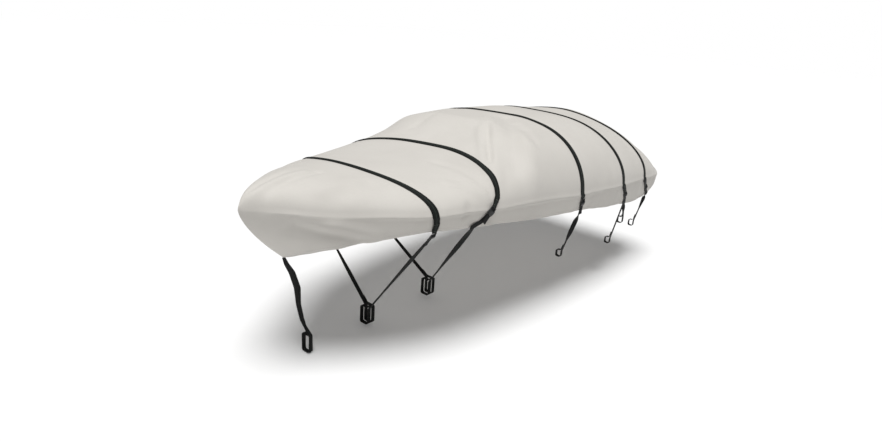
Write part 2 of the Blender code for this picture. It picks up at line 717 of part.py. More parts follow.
def bow_strap() -> None:
    """Build the crumpled strap from the front of the hem to its loop."""
    places = [Vector(place) for place, _, _ in BOW_STRAP]
    foot = Anchor(BOW_LOOP_MIDDLE, TALL_LOOP, ())
    loop, lap = loop_places(foot, places[-1], -1.0)
    rest = [0.0] * (len(loop) + len(lap))
    frames = free_frames(places + loop + lap, [turn for _, _, turn in BOW_STRAP] + rest, -1.0)
    widths = [width for _, width, _ in BOW_STRAP] + [TAIL_WIDTH] * len(rest)
    webbing("bow_strap", frames, widths, BOW_STRAP_THICK, "tail")


def main() -> None:
    """Build every piece."""
    clear_scene()
    sheet, grid = cloth_sheet()
    cloth = BVHTree.FromBMesh(sheet)
    lines = station_lines()
    for strap in CROSS_STRAPS:
        ends = cross_strap(strap, cloth, grid, lines)
        number = strap.name[-1]
        for foot, end, word, side in ((strap.port, ends[0], "port", -1.0),
                                      (strap.starboard, ends[1], "starboard", 1.0)):
            lower = buckle(f"buckle_{number}_{word}", end)
            tail(f"tail_{number}_{word}", cloth, foot, lower, side)
            if foot is LONG_END_FOOT:
                long_end(cloth, lower)
            else:
                free_end(f"free_end_{number}_{word}", lower)
    build_cover(sheet)
    bow_strap()


main()
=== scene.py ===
"""Looks of a fitted boat cover: one draped cloth with its straps, buckles, tails and stitching.

All sizes are in metres. Places in the tables are measured aft from the bow tip (x), to starboard (y)
and up from the bow tip (z), as a maker would take them. RowFrame shifts them to the part's own frame.

The cloth is read through two numbers: x along the boat, and g across it, which is -2 at the port hem,
-1 at the port crease, 0 at the crown, and 1 and 2 at the starboard crease and hem.
"""
import logging
import math
from dataclasses import dataclass, field
from enum import Enum
from typing import Callable, NamedTuple, Optional, Sequence

import bmesh
import bpy
import numpy as np
from mathutils import Matrix, Vector
from mathutils.bvhtree import BVHTree

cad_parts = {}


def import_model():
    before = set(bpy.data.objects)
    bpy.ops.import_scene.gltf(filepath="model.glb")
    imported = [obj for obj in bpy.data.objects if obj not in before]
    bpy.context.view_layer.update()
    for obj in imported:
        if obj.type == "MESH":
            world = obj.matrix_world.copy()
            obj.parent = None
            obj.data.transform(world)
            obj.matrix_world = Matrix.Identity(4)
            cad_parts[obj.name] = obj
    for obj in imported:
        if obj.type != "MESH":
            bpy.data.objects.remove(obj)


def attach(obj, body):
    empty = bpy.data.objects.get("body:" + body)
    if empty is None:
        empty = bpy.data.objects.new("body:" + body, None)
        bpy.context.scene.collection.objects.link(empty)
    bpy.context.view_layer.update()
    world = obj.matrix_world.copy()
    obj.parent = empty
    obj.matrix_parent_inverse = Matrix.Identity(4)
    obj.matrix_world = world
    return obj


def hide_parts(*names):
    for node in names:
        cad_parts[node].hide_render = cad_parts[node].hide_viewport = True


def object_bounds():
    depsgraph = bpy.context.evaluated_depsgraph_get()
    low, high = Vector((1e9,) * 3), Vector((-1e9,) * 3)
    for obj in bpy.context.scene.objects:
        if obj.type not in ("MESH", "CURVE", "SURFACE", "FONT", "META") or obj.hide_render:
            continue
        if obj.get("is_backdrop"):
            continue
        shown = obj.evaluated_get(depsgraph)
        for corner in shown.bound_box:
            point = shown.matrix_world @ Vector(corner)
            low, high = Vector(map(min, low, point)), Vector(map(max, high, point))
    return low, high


LOG = logging.getLogger("boat_cover")
ROOT = "root"
FLAT_MAP = "flat"       # the pieces' own UV map
STRAP_WIDE = 0.048      # the cross straps
TAIL_WIDE = 0.038       # the tails, free ends and loops


# ------------------------------------------------------------------ tables of sizes

class Section(NamedTuple):
    """One cross-section of the cover."""

    x: float          # where it meets the crease
    beam: float       # half the width at the crease
    crease: float     # height of the crease
    crown: float      # height of the middle
    flat: float       # how flat the middle is: 2 is round, higher is flatter
    upright: float    # how steeply the shoulder falls
    rake: float       # how far aft of the crease the hem lies
    hem_half: float   # half the width at the hem
    hem: float        # height of the hem


SECTIONS = tuple(Section(*row) for row in (
    # x    beam   crease  crown   flat  upright rake  hem_half hem
    (0.000, 0.000, -0.016, -0.001, 2.40, 2.30, 0.328, 0.000, -0.424),
    (0.050, 0.050, -0.020, 0.070, 2.40, 2.30, 0.295, 0.060, -0.405),
    (0.120, 0.120, -0.025, 0.103, 2.35, 2.30, 0.250, 0.130, -0.377),
    (0.250, 0.232, -0.035, 0.137, 2.30, 2.30, 0.160, 0.225, -0.340),
    (0.450, 0.385, -0.058, 0.159, 2.25, 2.25, 0.080, 0.400, -0.278),
    (0.700, 0.555, -0.066, 0.156, 2.20, 2.15, 0.030, 0.525, -0.243),
    (1.050, 0.727, -0.092, 0.147, 2.35, 2.05, 0.000, 0.705, -0.205),
    (1.350, 0.799, -0.100, 0.155, 2.95, 2.05, 0.000, 0.785, -0.225),
    (1.680, 0.848, -0.128, 0.182, 3.55, 2.20, 0.000, 0.830, -0.250),
    (1.950, 0.886, -0.137, 0.246, 3.45, 2.20, 0.000, 0.860, -0.282),
    (2.250, 0.912, -0.156, 0.357, 3.20, 2.05, 0.000, 0.885, -0.310),
    (2.700, 0.945, -0.198, 0.358, 3.15, 1.85, 0.000, 0.920, -0.345),
    (3.100, 0.960, -0.217, 0.355, 2.90, 1.82, 0.000, 0.935, -0.395),
    (3.450, 0.966, -0.242, 0.320, 2.75, 1.85, 0.000, 0.940, -0.435),
    (3.930, 0.954, -0.267, 0.295, 1.65, 2.12, 0.000, 0.930, -0.485),
    (4.250, 0.930, -0.290, 0.118, 1.90, 2.15, 0.000, 0.905, -0.485),
    (4.547, 0.874, -0.325, -0.118, 2.25, 1.85, -0.007, 0.860, -0.440),
))


class Foot(NamedTuple):
    """One end of a strap, from the crease to its tail's loop."""

    route: tuple      # (x, g, width) of the strap's end; the buckle starts at the last place
    aim: tuple        # (x, g) that the buckle points at, or nothing where it hangs along the tail
    below: tuple      # (x, g) of the places where the tail still lies on the cloth
    anchor: tuple     # middle of the tail's loop, (x, y, z)
    half: tuple       # half the width and height of the loop
    twists: tuple     # turn of the free run, in degrees, from the hem down


class CrossStrap(NamedTuple):
    """One strap across the cover, with the lean, bend and sweep of its middle line."""

    number: int
    x: float
    lean: float
    bend: float
    sweep: float
    port_g: float     # where the strap leaves the cloth's grid on the port side
    port: Foot
    starboard: Foot


TALL_LOOP = (0.042, 0.075)
SMALL_LOOP = (0.025, 0.032)

CROSS_STRAPS = (
    CrossStrap(
        1, 0.860, 0.107, 0.116, 0.123, -1.0,
        Foot(((1.052, -1.12, 0.048), (1.063, -1.52, 0.048), (1.059, -1.86, 0.045),
              (1.057, -2.08, 0.044)), (), (),
             (1.105, 0.0, -1.138), TALL_LOOP, (10, 25, 10)),
        Foot(((1.032, 1.12, 0.048), (1.036, 1.50, 0.048), (1.038, 1.86, 0.045),
              (1.040, 2.08, 0.044)), (), (),
             (1.150, 0.0, -1.138), TALL_LOOP, (-20, -30, -25))),
    CrossStrap(
        2, 1.735, 0.117, -0.216, 0.141, -0.935,
        Foot(((1.615, -0.977, 0.048), (1.590, -0.989, 0.047), (1.552, -0.9983, 0.044)),
             (1.503, -1.217), ((1.450, -1.667), (1.375, -1.95)),
             (1.835, 0.0, -1.120), TALL_LOOP, (35, 60, 20)),
        Foot(((1.566, 1.15, 0.044),), (1.572, 1.70), ((1.576, 1.94),),
             (1.885, 0.0, -1.120), TALL_LOOP, (-30, -35, -20))),
    CrossStrap(
        3, 2.713, 0.071, -0.072, 0.0, -1.0,
        Foot(((2.732, -1.13, 0.048), (2.738, -1.25, 0.044)), (2.748, -1.78), ((2.752, -1.95),),
             (2.765, -0.770, -0.800), SMALL_LOOP, (-12, 70, 45)),
        Foot(((2.580, 1.13, 0.048), (2.586, 1.25, 0.044)), (2.596, 1.78), ((2.600, 1.95),),
             (2.620, 0.770, -0.800), SMALL_LOOP, (-10, -40, -20))),
    CrossStrap(
        4, 3.359, 0.061, 0.065, 0.0, -1.0,
        Foot(((3.545, -1.25, 0.048), (3.566, -1.40, 0.044)), (3.626, -1.83), ((3.634, -1.95),),
             (3.640, -0.925, -0.630), SMALL_LOOP, (20, 25, 0)),
        Foot(((3.385, 1.25, 0.048), (3.400, 1.40, 0.044)), (3.440, 1.83), ((3.450, 1.95),),
             (3.455, 0.925, -0.630), SMALL_LOOP, (15, 10, 0))),
    CrossStrap(
        5, 3.820, 0.198, 0.004, 0.0, -1.0,
        Foot(((4.085, -1.27, 0.048), (4.118, -1.44, 0.044)), (4.215, -1.92), ((4.205, -1.96),),
             (4.115, -0.850, -0.790), SMALL_LOOP, (50, 25, 0)),
        Foot(((3.660, 1.27, 0.048), (3.680, 1.44, 0.044)), (3.730, 1.92), ((3.735, 1.96),),
             (3.740, 0.850, -0.790), SMALL_LOOP, (-30, -20, 0))),
)

LONG_END_KEY = "4_port"
LONG_END = Foot((), (), ((3.590, -1.95),), (3.590, -0.850, -0.855), SMALL_LOOP, (0, 0, 0))
BOW_LOOP_MIDDLE = (0.525, 0.0, -1.160)


class Crumple(NamedTuple):
    """One place along the crumpled bow strap."""

    place: tuple      # (x, y, z)
    width: float
    turn: float       # degrees about its own direction


BOW_STRAP = tuple(Crumple(*row) for row in (
    ((0.331, 0.000, -0.4236), 0.022, 40),
    ((0.352, -0.004, -0.480), 0.034, 44),
    ((0.392, -0.008, -0.553), 0.046, 46),
    ((0.438, -0.004, -0.685), 0.048, 40),
    ((0.452, 0.003, -0.820), 0.038, 50),
    ((0.481, 0.004, -0.950), 0.032, 30),
    ((0.505, 0.000, -1.020), 0.028, 0),
))


class Fold(NamedTuple):
    """One soft ridge (height above zero) or trough (below zero) along a straight line."""

    x1: float
    g1: float
    x2: float
    g2: float
    reach: float      # to each side of the line
    height: float
    keen: float       # how narrow its top is: 2 is soft, higher is crisper


FOLDS = tuple(Fold(*row) for row in (
    # Corner of the raised middle, on the port side, and the hollows beside it
    (2.376, -0.121, 1.700, -0.860, 0.110, 0.015, 3.0),
    (2.560, -0.190, 1.920, -0.850, 0.110, -0.015, 3.0),
    (2.760, -0.230, 2.080, -0.930, 0.160, 0.005, 3.0),
    (2.194, -0.285, 1.800, -0.690, 0.036, -0.017, 2.0),
    (2.120, -0.250, 1.775, -0.620, 0.046, 0.012, 2.0),
    (2.437, -0.403, 2.290, -0.700, 0.075, -0.010, 2.0),
    (2.330, -0.600, 2.050, -0.930, 0.090, 0.008, 2.0),
    (1.920, 0.420, 2.220, 0.380, 0.050, -0.005, 2.0),
    (2.050, -0.300, 1.800, -0.560, 0.070, 0.003, 2.0),
    # The same corner on the starboard side
    (2.163, 0.742, 1.830, 0.500, 0.120, 0.006, 2.5),
    (2.133, 0.432, 1.850, 0.300, 0.100, -0.006, 2.5),
    (2.560, 0.560, 2.020, 0.930, 0.150, 0.008, 2.0),
    # Wrinkles that fan out from the bow
    (0.060, -0.700, 0.500, -0.037, 0.052, 0.009, 2.0),
    (0.110, -0.880, 0.562, -0.172, 0.052, -0.009, 2.0),
    (0.038, -0.410, 0.387, 0.130, 0.036, -0.005, 2.0),
    (0.433, -0.951, 0.744, -0.643, 0.080, -0.009, 2.0),
    (0.300, -0.930, 0.700, -0.480, 0.060, 0.003, 2.0),
    (0.120, 0.600, 0.520, 0.250, 0.090, 0.003, 2.0),
    (0.480, 0.900, 0.760, 0.620, 0.110, -0.004, 2.0),
    # Creases towards the lower end of the second strap
    (1.440, -0.420, 1.560, -0.940, 0.060, -0.008, 2.0),
    (1.283, -0.780, 1.500, -0.960, 0.055, 0.007, 2.0),
    (1.180, -0.620, 1.470, -0.900, 0.060, -0.003, 2.0),
    (1.650, -0.560, 1.600, -0.920, 0.050, 0.003, 2.0),
    # Skirt at the bow: a fold that runs down and aft to the hem
    (0.230, -1.280, 0.570, -1.930, 0.065, -0.015, 2.0),
    (0.300, -1.120, 0.680, -1.760, 0.070, 0.011, 2.0),
    (0.180, -1.550, 0.420, -1.990, 0.060, 0.003, 2.0),
    (0.260, 1.350, 0.640, 1.900, 0.110, -0.010, 2.5),
    (0.360, 1.200, 0.700, 1.650, 0.080, 0.005, 2.0),
    # Skirt beside the first strap, and the dent in front of the second
    (1.105, -1.150, 1.130, -1.950, 0.060, 0.007, 2.5),
    (0.960, -1.200, 0.990, -1.900, 0.070, -0.004, 2.0),
    (1.310, -1.250, 1.370, -1.950, 0.070, -0.013, 2.0),
    (1.470, -1.400, 1.480, -1.980, 0.050, 0.004, 2.0),
    (1.520, 1.250, 1.500, 1.950, 0.090, -0.009, 2.0),
    # Skirt along the side and at the quarter
    (2.907, -1.350, 2.930, -1.950, 0.110, -0.008, 2.5),
    (2.640, -1.350, 2.600, -1.950, 0.080, 0.004, 2.0),
    (3.250, -1.300, 3.220, -1.950, 0.140, 0.007, 2.0),
    (3.070, -1.450, 3.050, -1.950, 0.070, -0.004, 2.0),
    (3.000, 1.350, 3.040, 1.950, 0.150, -0.009, 2.0),
    (3.980, 1.300, 4.020, 1.950, 0.130, 0.008, 2.0),
    (4.330, -1.300, 4.360, -1.950, 0.110, -0.005, 2.0),
    # Soft pull lines between the aft straps
    (3.050, -0.620, 3.300, -0.930, 0.090, -0.003, 2.0),
    (3.620, -0.500, 3.780, -0.900, 0.080, 0.003, 2.0),
    (4.050, -0.350, 4.180, -0.850, 0.090, -0.004, 2.0),
    (3.300, 0.500, 3.200, 0.900, 0.100, -0.003, 2.0),
    (4.100, 0.300, 4.050, 0.850, 0.090, -0.004, 2.0),
))


class Ripple(NamedTuple):
    """One slow wave of the cloth, from the way it was stretched by hand."""

    along: float      # waves in each metre along the boat
    across: float     # waves in each metre across it
    start: float      # where the wave starts, in turns
    height: float


RIPPLES = tuple(Ripple(*row) for row in (
    (1.10, 0.45, 0.10, 0.0010),
    (0.70, 1.60, 0.55, 0.0010),
    (2.30, 0.90, 0.30, 0.0005),
    (1.70, 2.40, 0.80, 0.0004),
))


# ------------------------------------------------------------------ finishes

class Shade:
    """A shader being wired: adds nodes, joins them and keeps the principled shader at hand."""

    def __init__(self, name: str) -> None:
        """Start a material.

        Args:
            name: what the material is called.
        """
        self.material = bpy.data.materials.new(name)
        self.material.use_nodes = True
        self.tree = self.material.node_tree
        self.shader = self.tree.nodes["Principled BSDF"]

    def node(self, kind: str, **settings: object) -> bpy.types.Node:
        """Add a node of that kind and give it its settings.

        Args:
            kind: the node's type.
            settings: the node's own properties.

        Returns:
            The node.
        """
        made = self.tree.nodes.new(kind)
        for key, value in settings.items():
            setattr(made, key, value)
        return made

    def place(self) -> bpy.types.NodeSocket:
        """Return the place on the object, in metres."""
        return self.node("ShaderNodeTexCoord").outputs["Object"]

    def flat(self) -> bpy.types.NodeSocket:
        """Return the place on the piece's own flat map."""
        return self.node("ShaderNodeUVMap", uv_map=FLAT_MAP).outputs["UV"]

    def join(self, out: bpy.types.NodeSocket, into: bpy.types.NodeSocket) -> None:
        """Link an output to an input."""
        self.tree.links.new(out, into)

    def fixed(self, **values: object) -> None:
        """Set constants on the principled shader's own sockets, underscores standing for spaces."""
        for key, value in values.items():
            self.shader.inputs[key.replace("_", " ")].default_value = value

    def sum(self, how: str, first: object, second: object) -> bpy.types.NodeSocket:
        """Add a math node.

        Args:
            how: the operation.
            first: a socket or a number.
            second: a socket or a number.

        Returns:
            The result's socket.
        """
        made = self.node("ShaderNodeMath", operation=how)
        for k, value in enumerate((first, second)):
            if isinstance(value, bpy.types.NodeSocket):
                self.join(value, made.inputs[k])
            else:
                made.inputs[k].default_value = value
        return made.outputs[0]

    def noise(self, where: bpy.types.NodeSocket, scale: float, detail: float) -> bpy.types.NodeSocket:
        """Add a noise pattern and return its value."""
        made = self.node("ShaderNodeTexNoise")
        made.inputs["Scale"].default_value = scale
        made.inputs["Detail"].default_value = detail
        self.join(where, made.inputs["Vector"])
        return made.outputs["Fac"]

    def ramp(self, value: bpy.types.NodeSocket, stops: Sequence[tuple]) -> bpy.types.NodeSocket:
        """Colour a value.

        Args:
            value: what is coloured.
            stops: (position, (red, green, blue)) from low to high.

        Returns:
            The colour's socket.
        """
        made = self.node("ShaderNodeValToRGB")
        while len(made.color_ramp.elements) < len(stops):
            made.color_ramp.elements.new(0.5)
        for element, (position, colour) in zip(made.color_ramp.elements, stops):
            element.position = position
            element.color = (*colour, 1.0)
        self.join(value, made.inputs["Fac"])
        return made.outputs["Color"]

    def coloured(self, value: bpy.types.NodeSocket, stops: Sequence[tuple]) -> None:
        """Colour the whole surface by a value.

        Args:
            value: what the colour follows.
            stops: (position, (red, green, blue)) from low to high.
        """
        self.join(self.ramp(value, stops), self.shader.inputs["Base Color"])

    def bumps(self, layers: Sequence[tuple]) -> None:
        """Stack bump layers onto the shader's normal.

        Args:
            layers: (height socket, depth in metres, strength) from the coarsest to the finest.
        """
        before: Optional[bpy.types.NodeSocket] = None
        for height, depth, strength in layers:
            made = self.node("ShaderNodeBump")
            made.inputs["Distance"].default_value = depth
            made.inputs["Strength"].default_value = strength
            self.join(height, made.inputs["Height"])
            if before:
                self.join(before, made.inputs["Normal"])
            before = made.outputs["Normal"]
        if before:
            self.join(before, self.shader.inputs["Normal"])


WAVE_PERIOD = 2 * math.pi / 20      # of a wave pattern of scale 1


@dataclass(frozen=True)
class CanvasFinish:
    """Light woven polyester canvas, a little weathered."""

    name: str = "light_canvas"
    light: tuple = (0.562, 0.540, 0.503)
    dull: tuple = (0.525, 0.503, 0.468)
    roughness: tuple = (0.74, 0.90)
    thread_pitch: float = 0.0016
    thread_depth: float = 0.00022
    thread_wobble: float = 0.6
    pucker_depth: float = 0.0022
    patterns: tuple = ((2.6, 5.0), (90.0, 3.0), (7.0, 3.0))   # scale and detail of clouds, specks, puckers
    shares: tuple = (0.75, 0.25)          # of the clouds and the specks in the mottling
    stops: tuple = (0.30, 0.62)
    strengths: tuple = (0.45, 0.35)       # of the puckers and the threads
    sheen: float = 0.12
    sheen_roughness: float = 0.5

    def make(self) -> bpy.types.Material:
        """Wire the weave, the soft mottling and the puckers, and return the material."""
        shade = Shade(self.name)
        place, flat = shade.place(), shade.flat()
        cloud, speck, pucker = [shade.noise(place, *pattern) for pattern in self.patterns]
        parts = [shade.sum("MULTIPLY", value, share) for value, share in zip((cloud, speck), self.shares)]
        shade.coloured(shade.sum("ADD", *parts), tuple(zip(self.stops, (self.dull, self.light))))
        rough = shade.node("ShaderNodeMapRange")
        rough.inputs["To Min"].default_value, rough.inputs["To Max"].default_value = self.roughness
        shade.join(speck, rough.inputs["Value"])
        shade.join(rough.outputs[0], shade.shader.inputs["Roughness"])
        threads = []
        for direction in ("X", "Y"):
            wave = shade.node("ShaderNodeTexWave", wave_type="BANDS", bands_direction=direction)
            wave.inputs["Scale"].default_value = WAVE_PERIOD / self.thread_pitch
            wave.inputs["Distortion"].default_value = self.thread_wobble
            shade.join(flat, wave.inputs["Vector"])
            threads.append(wave.outputs["Fac"])
        weave = shade.sum("MULTIPLY", threads[0], threads[1])
        shade.bumps(tuple(zip((pucker, weave), (self.pucker_depth, self.thread_depth), self.strengths)))
        shade.fixed(Sheen_Weight=self.sheen, Sheen_Roughness=self.sheen_roughness)
        return shade.material


@dataclass(frozen=True)
class WebbingFinish:
    """Flat woven webbing with ribs along it, darker selvedges and a paler middle."""

    name: str
    edge: tuple
    body: tuple
    middle: tuple
    ribs: int = 13
    pick_pitch: float = 0.0024
    pick_slant: float = 1.4
    rib_depth: float = 0.0005
    rib_share: float = 0.6
    fuzz: tuple = (140.0, 3.0)            # scale and detail
    fuzz_share: float = 0.35
    stops: tuple = (0.03, 0.15, 0.80, 0.96)
    bump: float = 0.5
    roughness: float = 0.75
    sheen: float = 0.04
    sheen_roughness: float = 0.4
    shine: float = 0.25

    def make(self) -> bpy.types.Material:
        """Wire the ribs, the picks across them and the colours, and return the material."""
        shade = Shade(self.name)
        parts = shade.node("ShaderNodeSeparateXYZ")
        shade.join(shade.flat(), parts.inputs[0])
        across, along = parts.outputs[0], parts.outputs[1]
        aside = shade.sum("MULTIPLY", shade.sum("ABSOLUTE", shade.sum("SUBTRACT", across, 0.5), 0.0), 2.0)
        rib = shade.sum("SINE", shade.sum("MULTIPLY", across, 2 * math.pi * self.ribs), 0.0)
        slant = shade.sum("ADD", shade.sum("MULTIPLY", along, 2 * math.pi / self.pick_pitch),
                          shade.sum("MULTIPLY", rib, self.pick_slant))
        pick = shade.sum("SINE", slant, 0.0)
        fuzz = shade.noise(shade.place(), *self.fuzz)
        spread = shade.sum("MULTIPLY", shade.sum("SUBTRACT", fuzz, 0.5), self.fuzz_share)
        colours = (self.middle, self.body, self.body, self.edge)
        shade.coloured(shade.sum("ADD", aside, spread), tuple(zip(self.stops, colours)))
        relief = shade.sum("ADD", shade.sum("MULTIPLY", rib, self.rib_share),
                           shade.sum("MULTIPLY", pick, 1.0 - self.rib_share))
        shade.bumps(((relief, self.rib_depth, self.bump),))
        shade.fixed(Roughness=self.roughness, Sheen_Weight=self.sheen,
                    Sheen_Roughness=self.sheen_roughness, Specular_IOR_Level=self.shine)
        return shade.material


@dataclass(frozen=True)
class SpeckledFinish:
    """A plain material with darker and lighter specks: moulded plastic, plated steel or thread."""

    name: str
    dark: tuple
    light: tuple
    stops: tuple              # where the dark ends and the light starts
    pattern: tuple            # scale and detail of the specks
    roughness: float
    metal: float = 0.0
    sheen: float = 0.0
    grain_depth: float = 0.0
    grain: tuple = (2400.0, 2.0)
    bump: float = 0.5

    def make(self) -> bpy.types.Material:
        """Wire the specks and the grain, and return the material."""
        shade = Shade(self.name)
        place = shade.place()
        shade.coloured(shade.noise(place, *self.pattern), tuple(zip(self.stops, (self.dark, self.light))))
        if self.grain_depth:
            shade.bumps(((shade.noise(place, *self.grain), self.grain_depth, self.bump),))
        shade.fixed(Roughness=self.roughness, Metallic=self.metal, Sheen_Weight=self.sheen)
        return shade.material


class Finish(Enum):
    """The finishes of the cover's pieces."""

    CANVAS = CanvasFinish()
    STRAP = WebbingFinish("wide_strap_webbing", (0.0012, 0.0018, 0.0015), (0.0022, 0.0040, 0.0029),
                          (0.0220, 0.0300, 0.0250))
    TAIL = WebbingFinish("narrow_tail_webbing", (0.0015, 0.0018, 0.0018), (0.0035, 0.0040, 0.0040),
                         (0.0090, 0.0100, 0.0100), ribs=9)
    BUCKLE = SpeckledFinish("moulded_black", (0.006, 0.007, 0.007), (0.018, 0.019, 0.020),
                            (0.50, 0.78), (120.0, 5.0), 0.48, grain_depth=0.00008)
    PIN = SpeckledFinish("plated_pin", (0.12, 0.12, 0.126), (0.20, 0.20, 0.21),
                         (0.40, 0.70), (300.0, 4.0), 0.42, metal=0.9)
    HEM_THREAD = SpeckledFinish("hem_thread", (0.3312, 0.3132, 0.288), (0.46, 0.435, 0.40),
                                (0.35, 0.65), (500.0, 3.0), 0.70, sheen=0.2)
    BAR_THREAD = SpeckledFinish("bar_thread", (0.216, 0.2232, 0.1944), (0.300, 0.310, 0.270),
                                (0.35, 0.65), (500.0, 3.0), 0.70, sheen=0.2)

    def material(self) -> bpy.types.Material:
        """Return the finish's material, making it the first time."""
        return bpy.data.materials.get(self.value.name) or self.value.make()


# ------------------------------------------------------------------ meshes

def linked(name: str, data: bpy.types.ID) -> bpy.types.Object:
    """Return a new object of that data, in the scene."""
    made = bpy.data.objects.new(name, data)
    bpy.context.scene.collection.objects.link(made)
    return made


def mesh_of(name: str, places: Sequence, faces: Sequence, edges: Sequence = ()) -> bpy.types.Mesh:
    """Return a new mesh of those places, faces and edges."""
    mesh = bpy.data.meshes.new(name)
    mesh.from_pydata(places, list(edges), faces)
    return mesh


def new_piece(name: str, mesh: bpy.types.Mesh, finish: Finish) -> bpy.types.Object:
    """Put a mesh into the scene as a piece that rides on the part.

    Args:
        name: the piece's name.
        mesh: its mesh, already in place.
        finish: what it is made of.

    Returns:
        The new object.
    """
    mesh.materials.clear()
    mesh.materials.append(finish.material())
    piece = linked(name, mesh)
    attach(piece, ROOT)
    return piece


def settled(piece: bpy.types.Object) -> None:
    """Turn a piece's modifiers into plain mesh."""
    finished = bpy.data.meshes.new_from_object(piece.evaluated_get(bpy.context.evaluated_depsgraph_get()))
    old = piece.data
    piece.modifiers.clear()
    piece.data = finished
    bpy.data.meshes.remove(old)


def flat_map(mesh: bpy.types.Mesh, places: np.ndarray) -> None:
    """Give a mesh a UV map from one flat place for each vertex.

    Args:
        mesh: the mesh.
        places: one (u, v) for each vertex.
    """
    layer = mesh.uv_layers.new(name=FLAT_MAP)
    corners = np.zeros(len(mesh.loops), dtype=np.int32)
    mesh.loops.foreach_get("vertex_index", corners)
    layer.data.foreach_set("uv", places[corners].astype(np.float32).ravel())


def smooth_through(x: np.ndarray, knots: np.ndarray, values: np.ndarray) -> np.ndarray:
    """Read a smooth curve through knots and values that never overshoots them.

    Args:
        x: where it is read.
        knots: the places, from low to high.
        values: the values there.

    Returns:
        The curve's values at x.
    """
    step = np.diff(knots)
    slope = np.diff(values) / step
    grade = np.concatenate(([slope[0]], np.zeros(len(knots) - 2), [slope[-1]]))
    for k in range(1, len(knots) - 1):
        if slope[k - 1] * slope[k] > 0:
            near = 2 * step[k] + step[k - 1]
            far = step[k] + 2 * step[k - 1]
            grade[k] = (near + far) / (near / slope[k - 1] + far / slope[k])
    k = np.clip(np.searchsorted(knots, x, side="right") - 1, 0, len(knots) - 2)
    s = np.clip((x - knots[k]) / step[k], 0.0, 1.0)
    rise = values[k + 1] - values[k]
    start = step[k] * grade[k]
    end = step[k] * grade[k + 1]
    return values[k] + s * start + s * s * (3 * rise - 2 * start - end) + s ** 3 * (start + end - 2 * rise)


def unit(rows: np.ndarray) -> np.ndarray:
    """Return the rows scaled to length 1."""
    return rows / np.maximum(np.linalg.norm(rows, axis=-1, keepdims=True), 1e-12)


def lengths(points: np.ndarray) -> np.ndarray:
    """Return how far along a line of points each of them lies, from 0."""
    return np.concatenate(([0.0], np.cumsum(np.linalg.norm(np.diff(points, axis=0), axis=-1))))


def stands_out(cloth: BVHTree, place: Vector, out: Vector, reach: float) -> Optional[float]:
    """Return how far the cloth stands out past a place.

    Args:
        cloth: the cloth's outer face.
        place: where it is looked for.
        out: the way out of the cloth.
        reach: how far from the place it is looked for, to either side.

    Returns:
        The height in metres, or nothing where there is no cloth within reach.
    """
    hit = cloth.ray_cast(place + out * reach, -out, 2 * reach)
    return reach - hit[3] if hit[0] else None


def eased(share: np.ndarray) -> np.ndarray:
    """Return a soft step from 0 to 1 over shares from 0 to 1."""
    s = np.clip(share, 0.0, 1.0)
    return s * s * (3 - 2 * s)


@dataclass
class RowFrame:
    """Where the part's own frame lies: just under the middle of the top."""

    origin_x: float = 2.27
    cloth_thick: float = 0.002
    shift: np.ndarray = field(init=False)

    def __post_init__(self) -> None:
        """Work out the shift from the sections."""
        table = np.array(SECTIONS)
        crown = smooth_through(np.array(self.origin_x), table[:, 0], table[:, 3])
        self.shift = np.array((self.origin_x, 0.0, float(crown) - self.cloth_thick))

    def place(self, point: Sequence[float]) -> Vector:
        """Return a maker's place in the part's own frame."""
        return Vector(np.array(point, float) - self.shift)


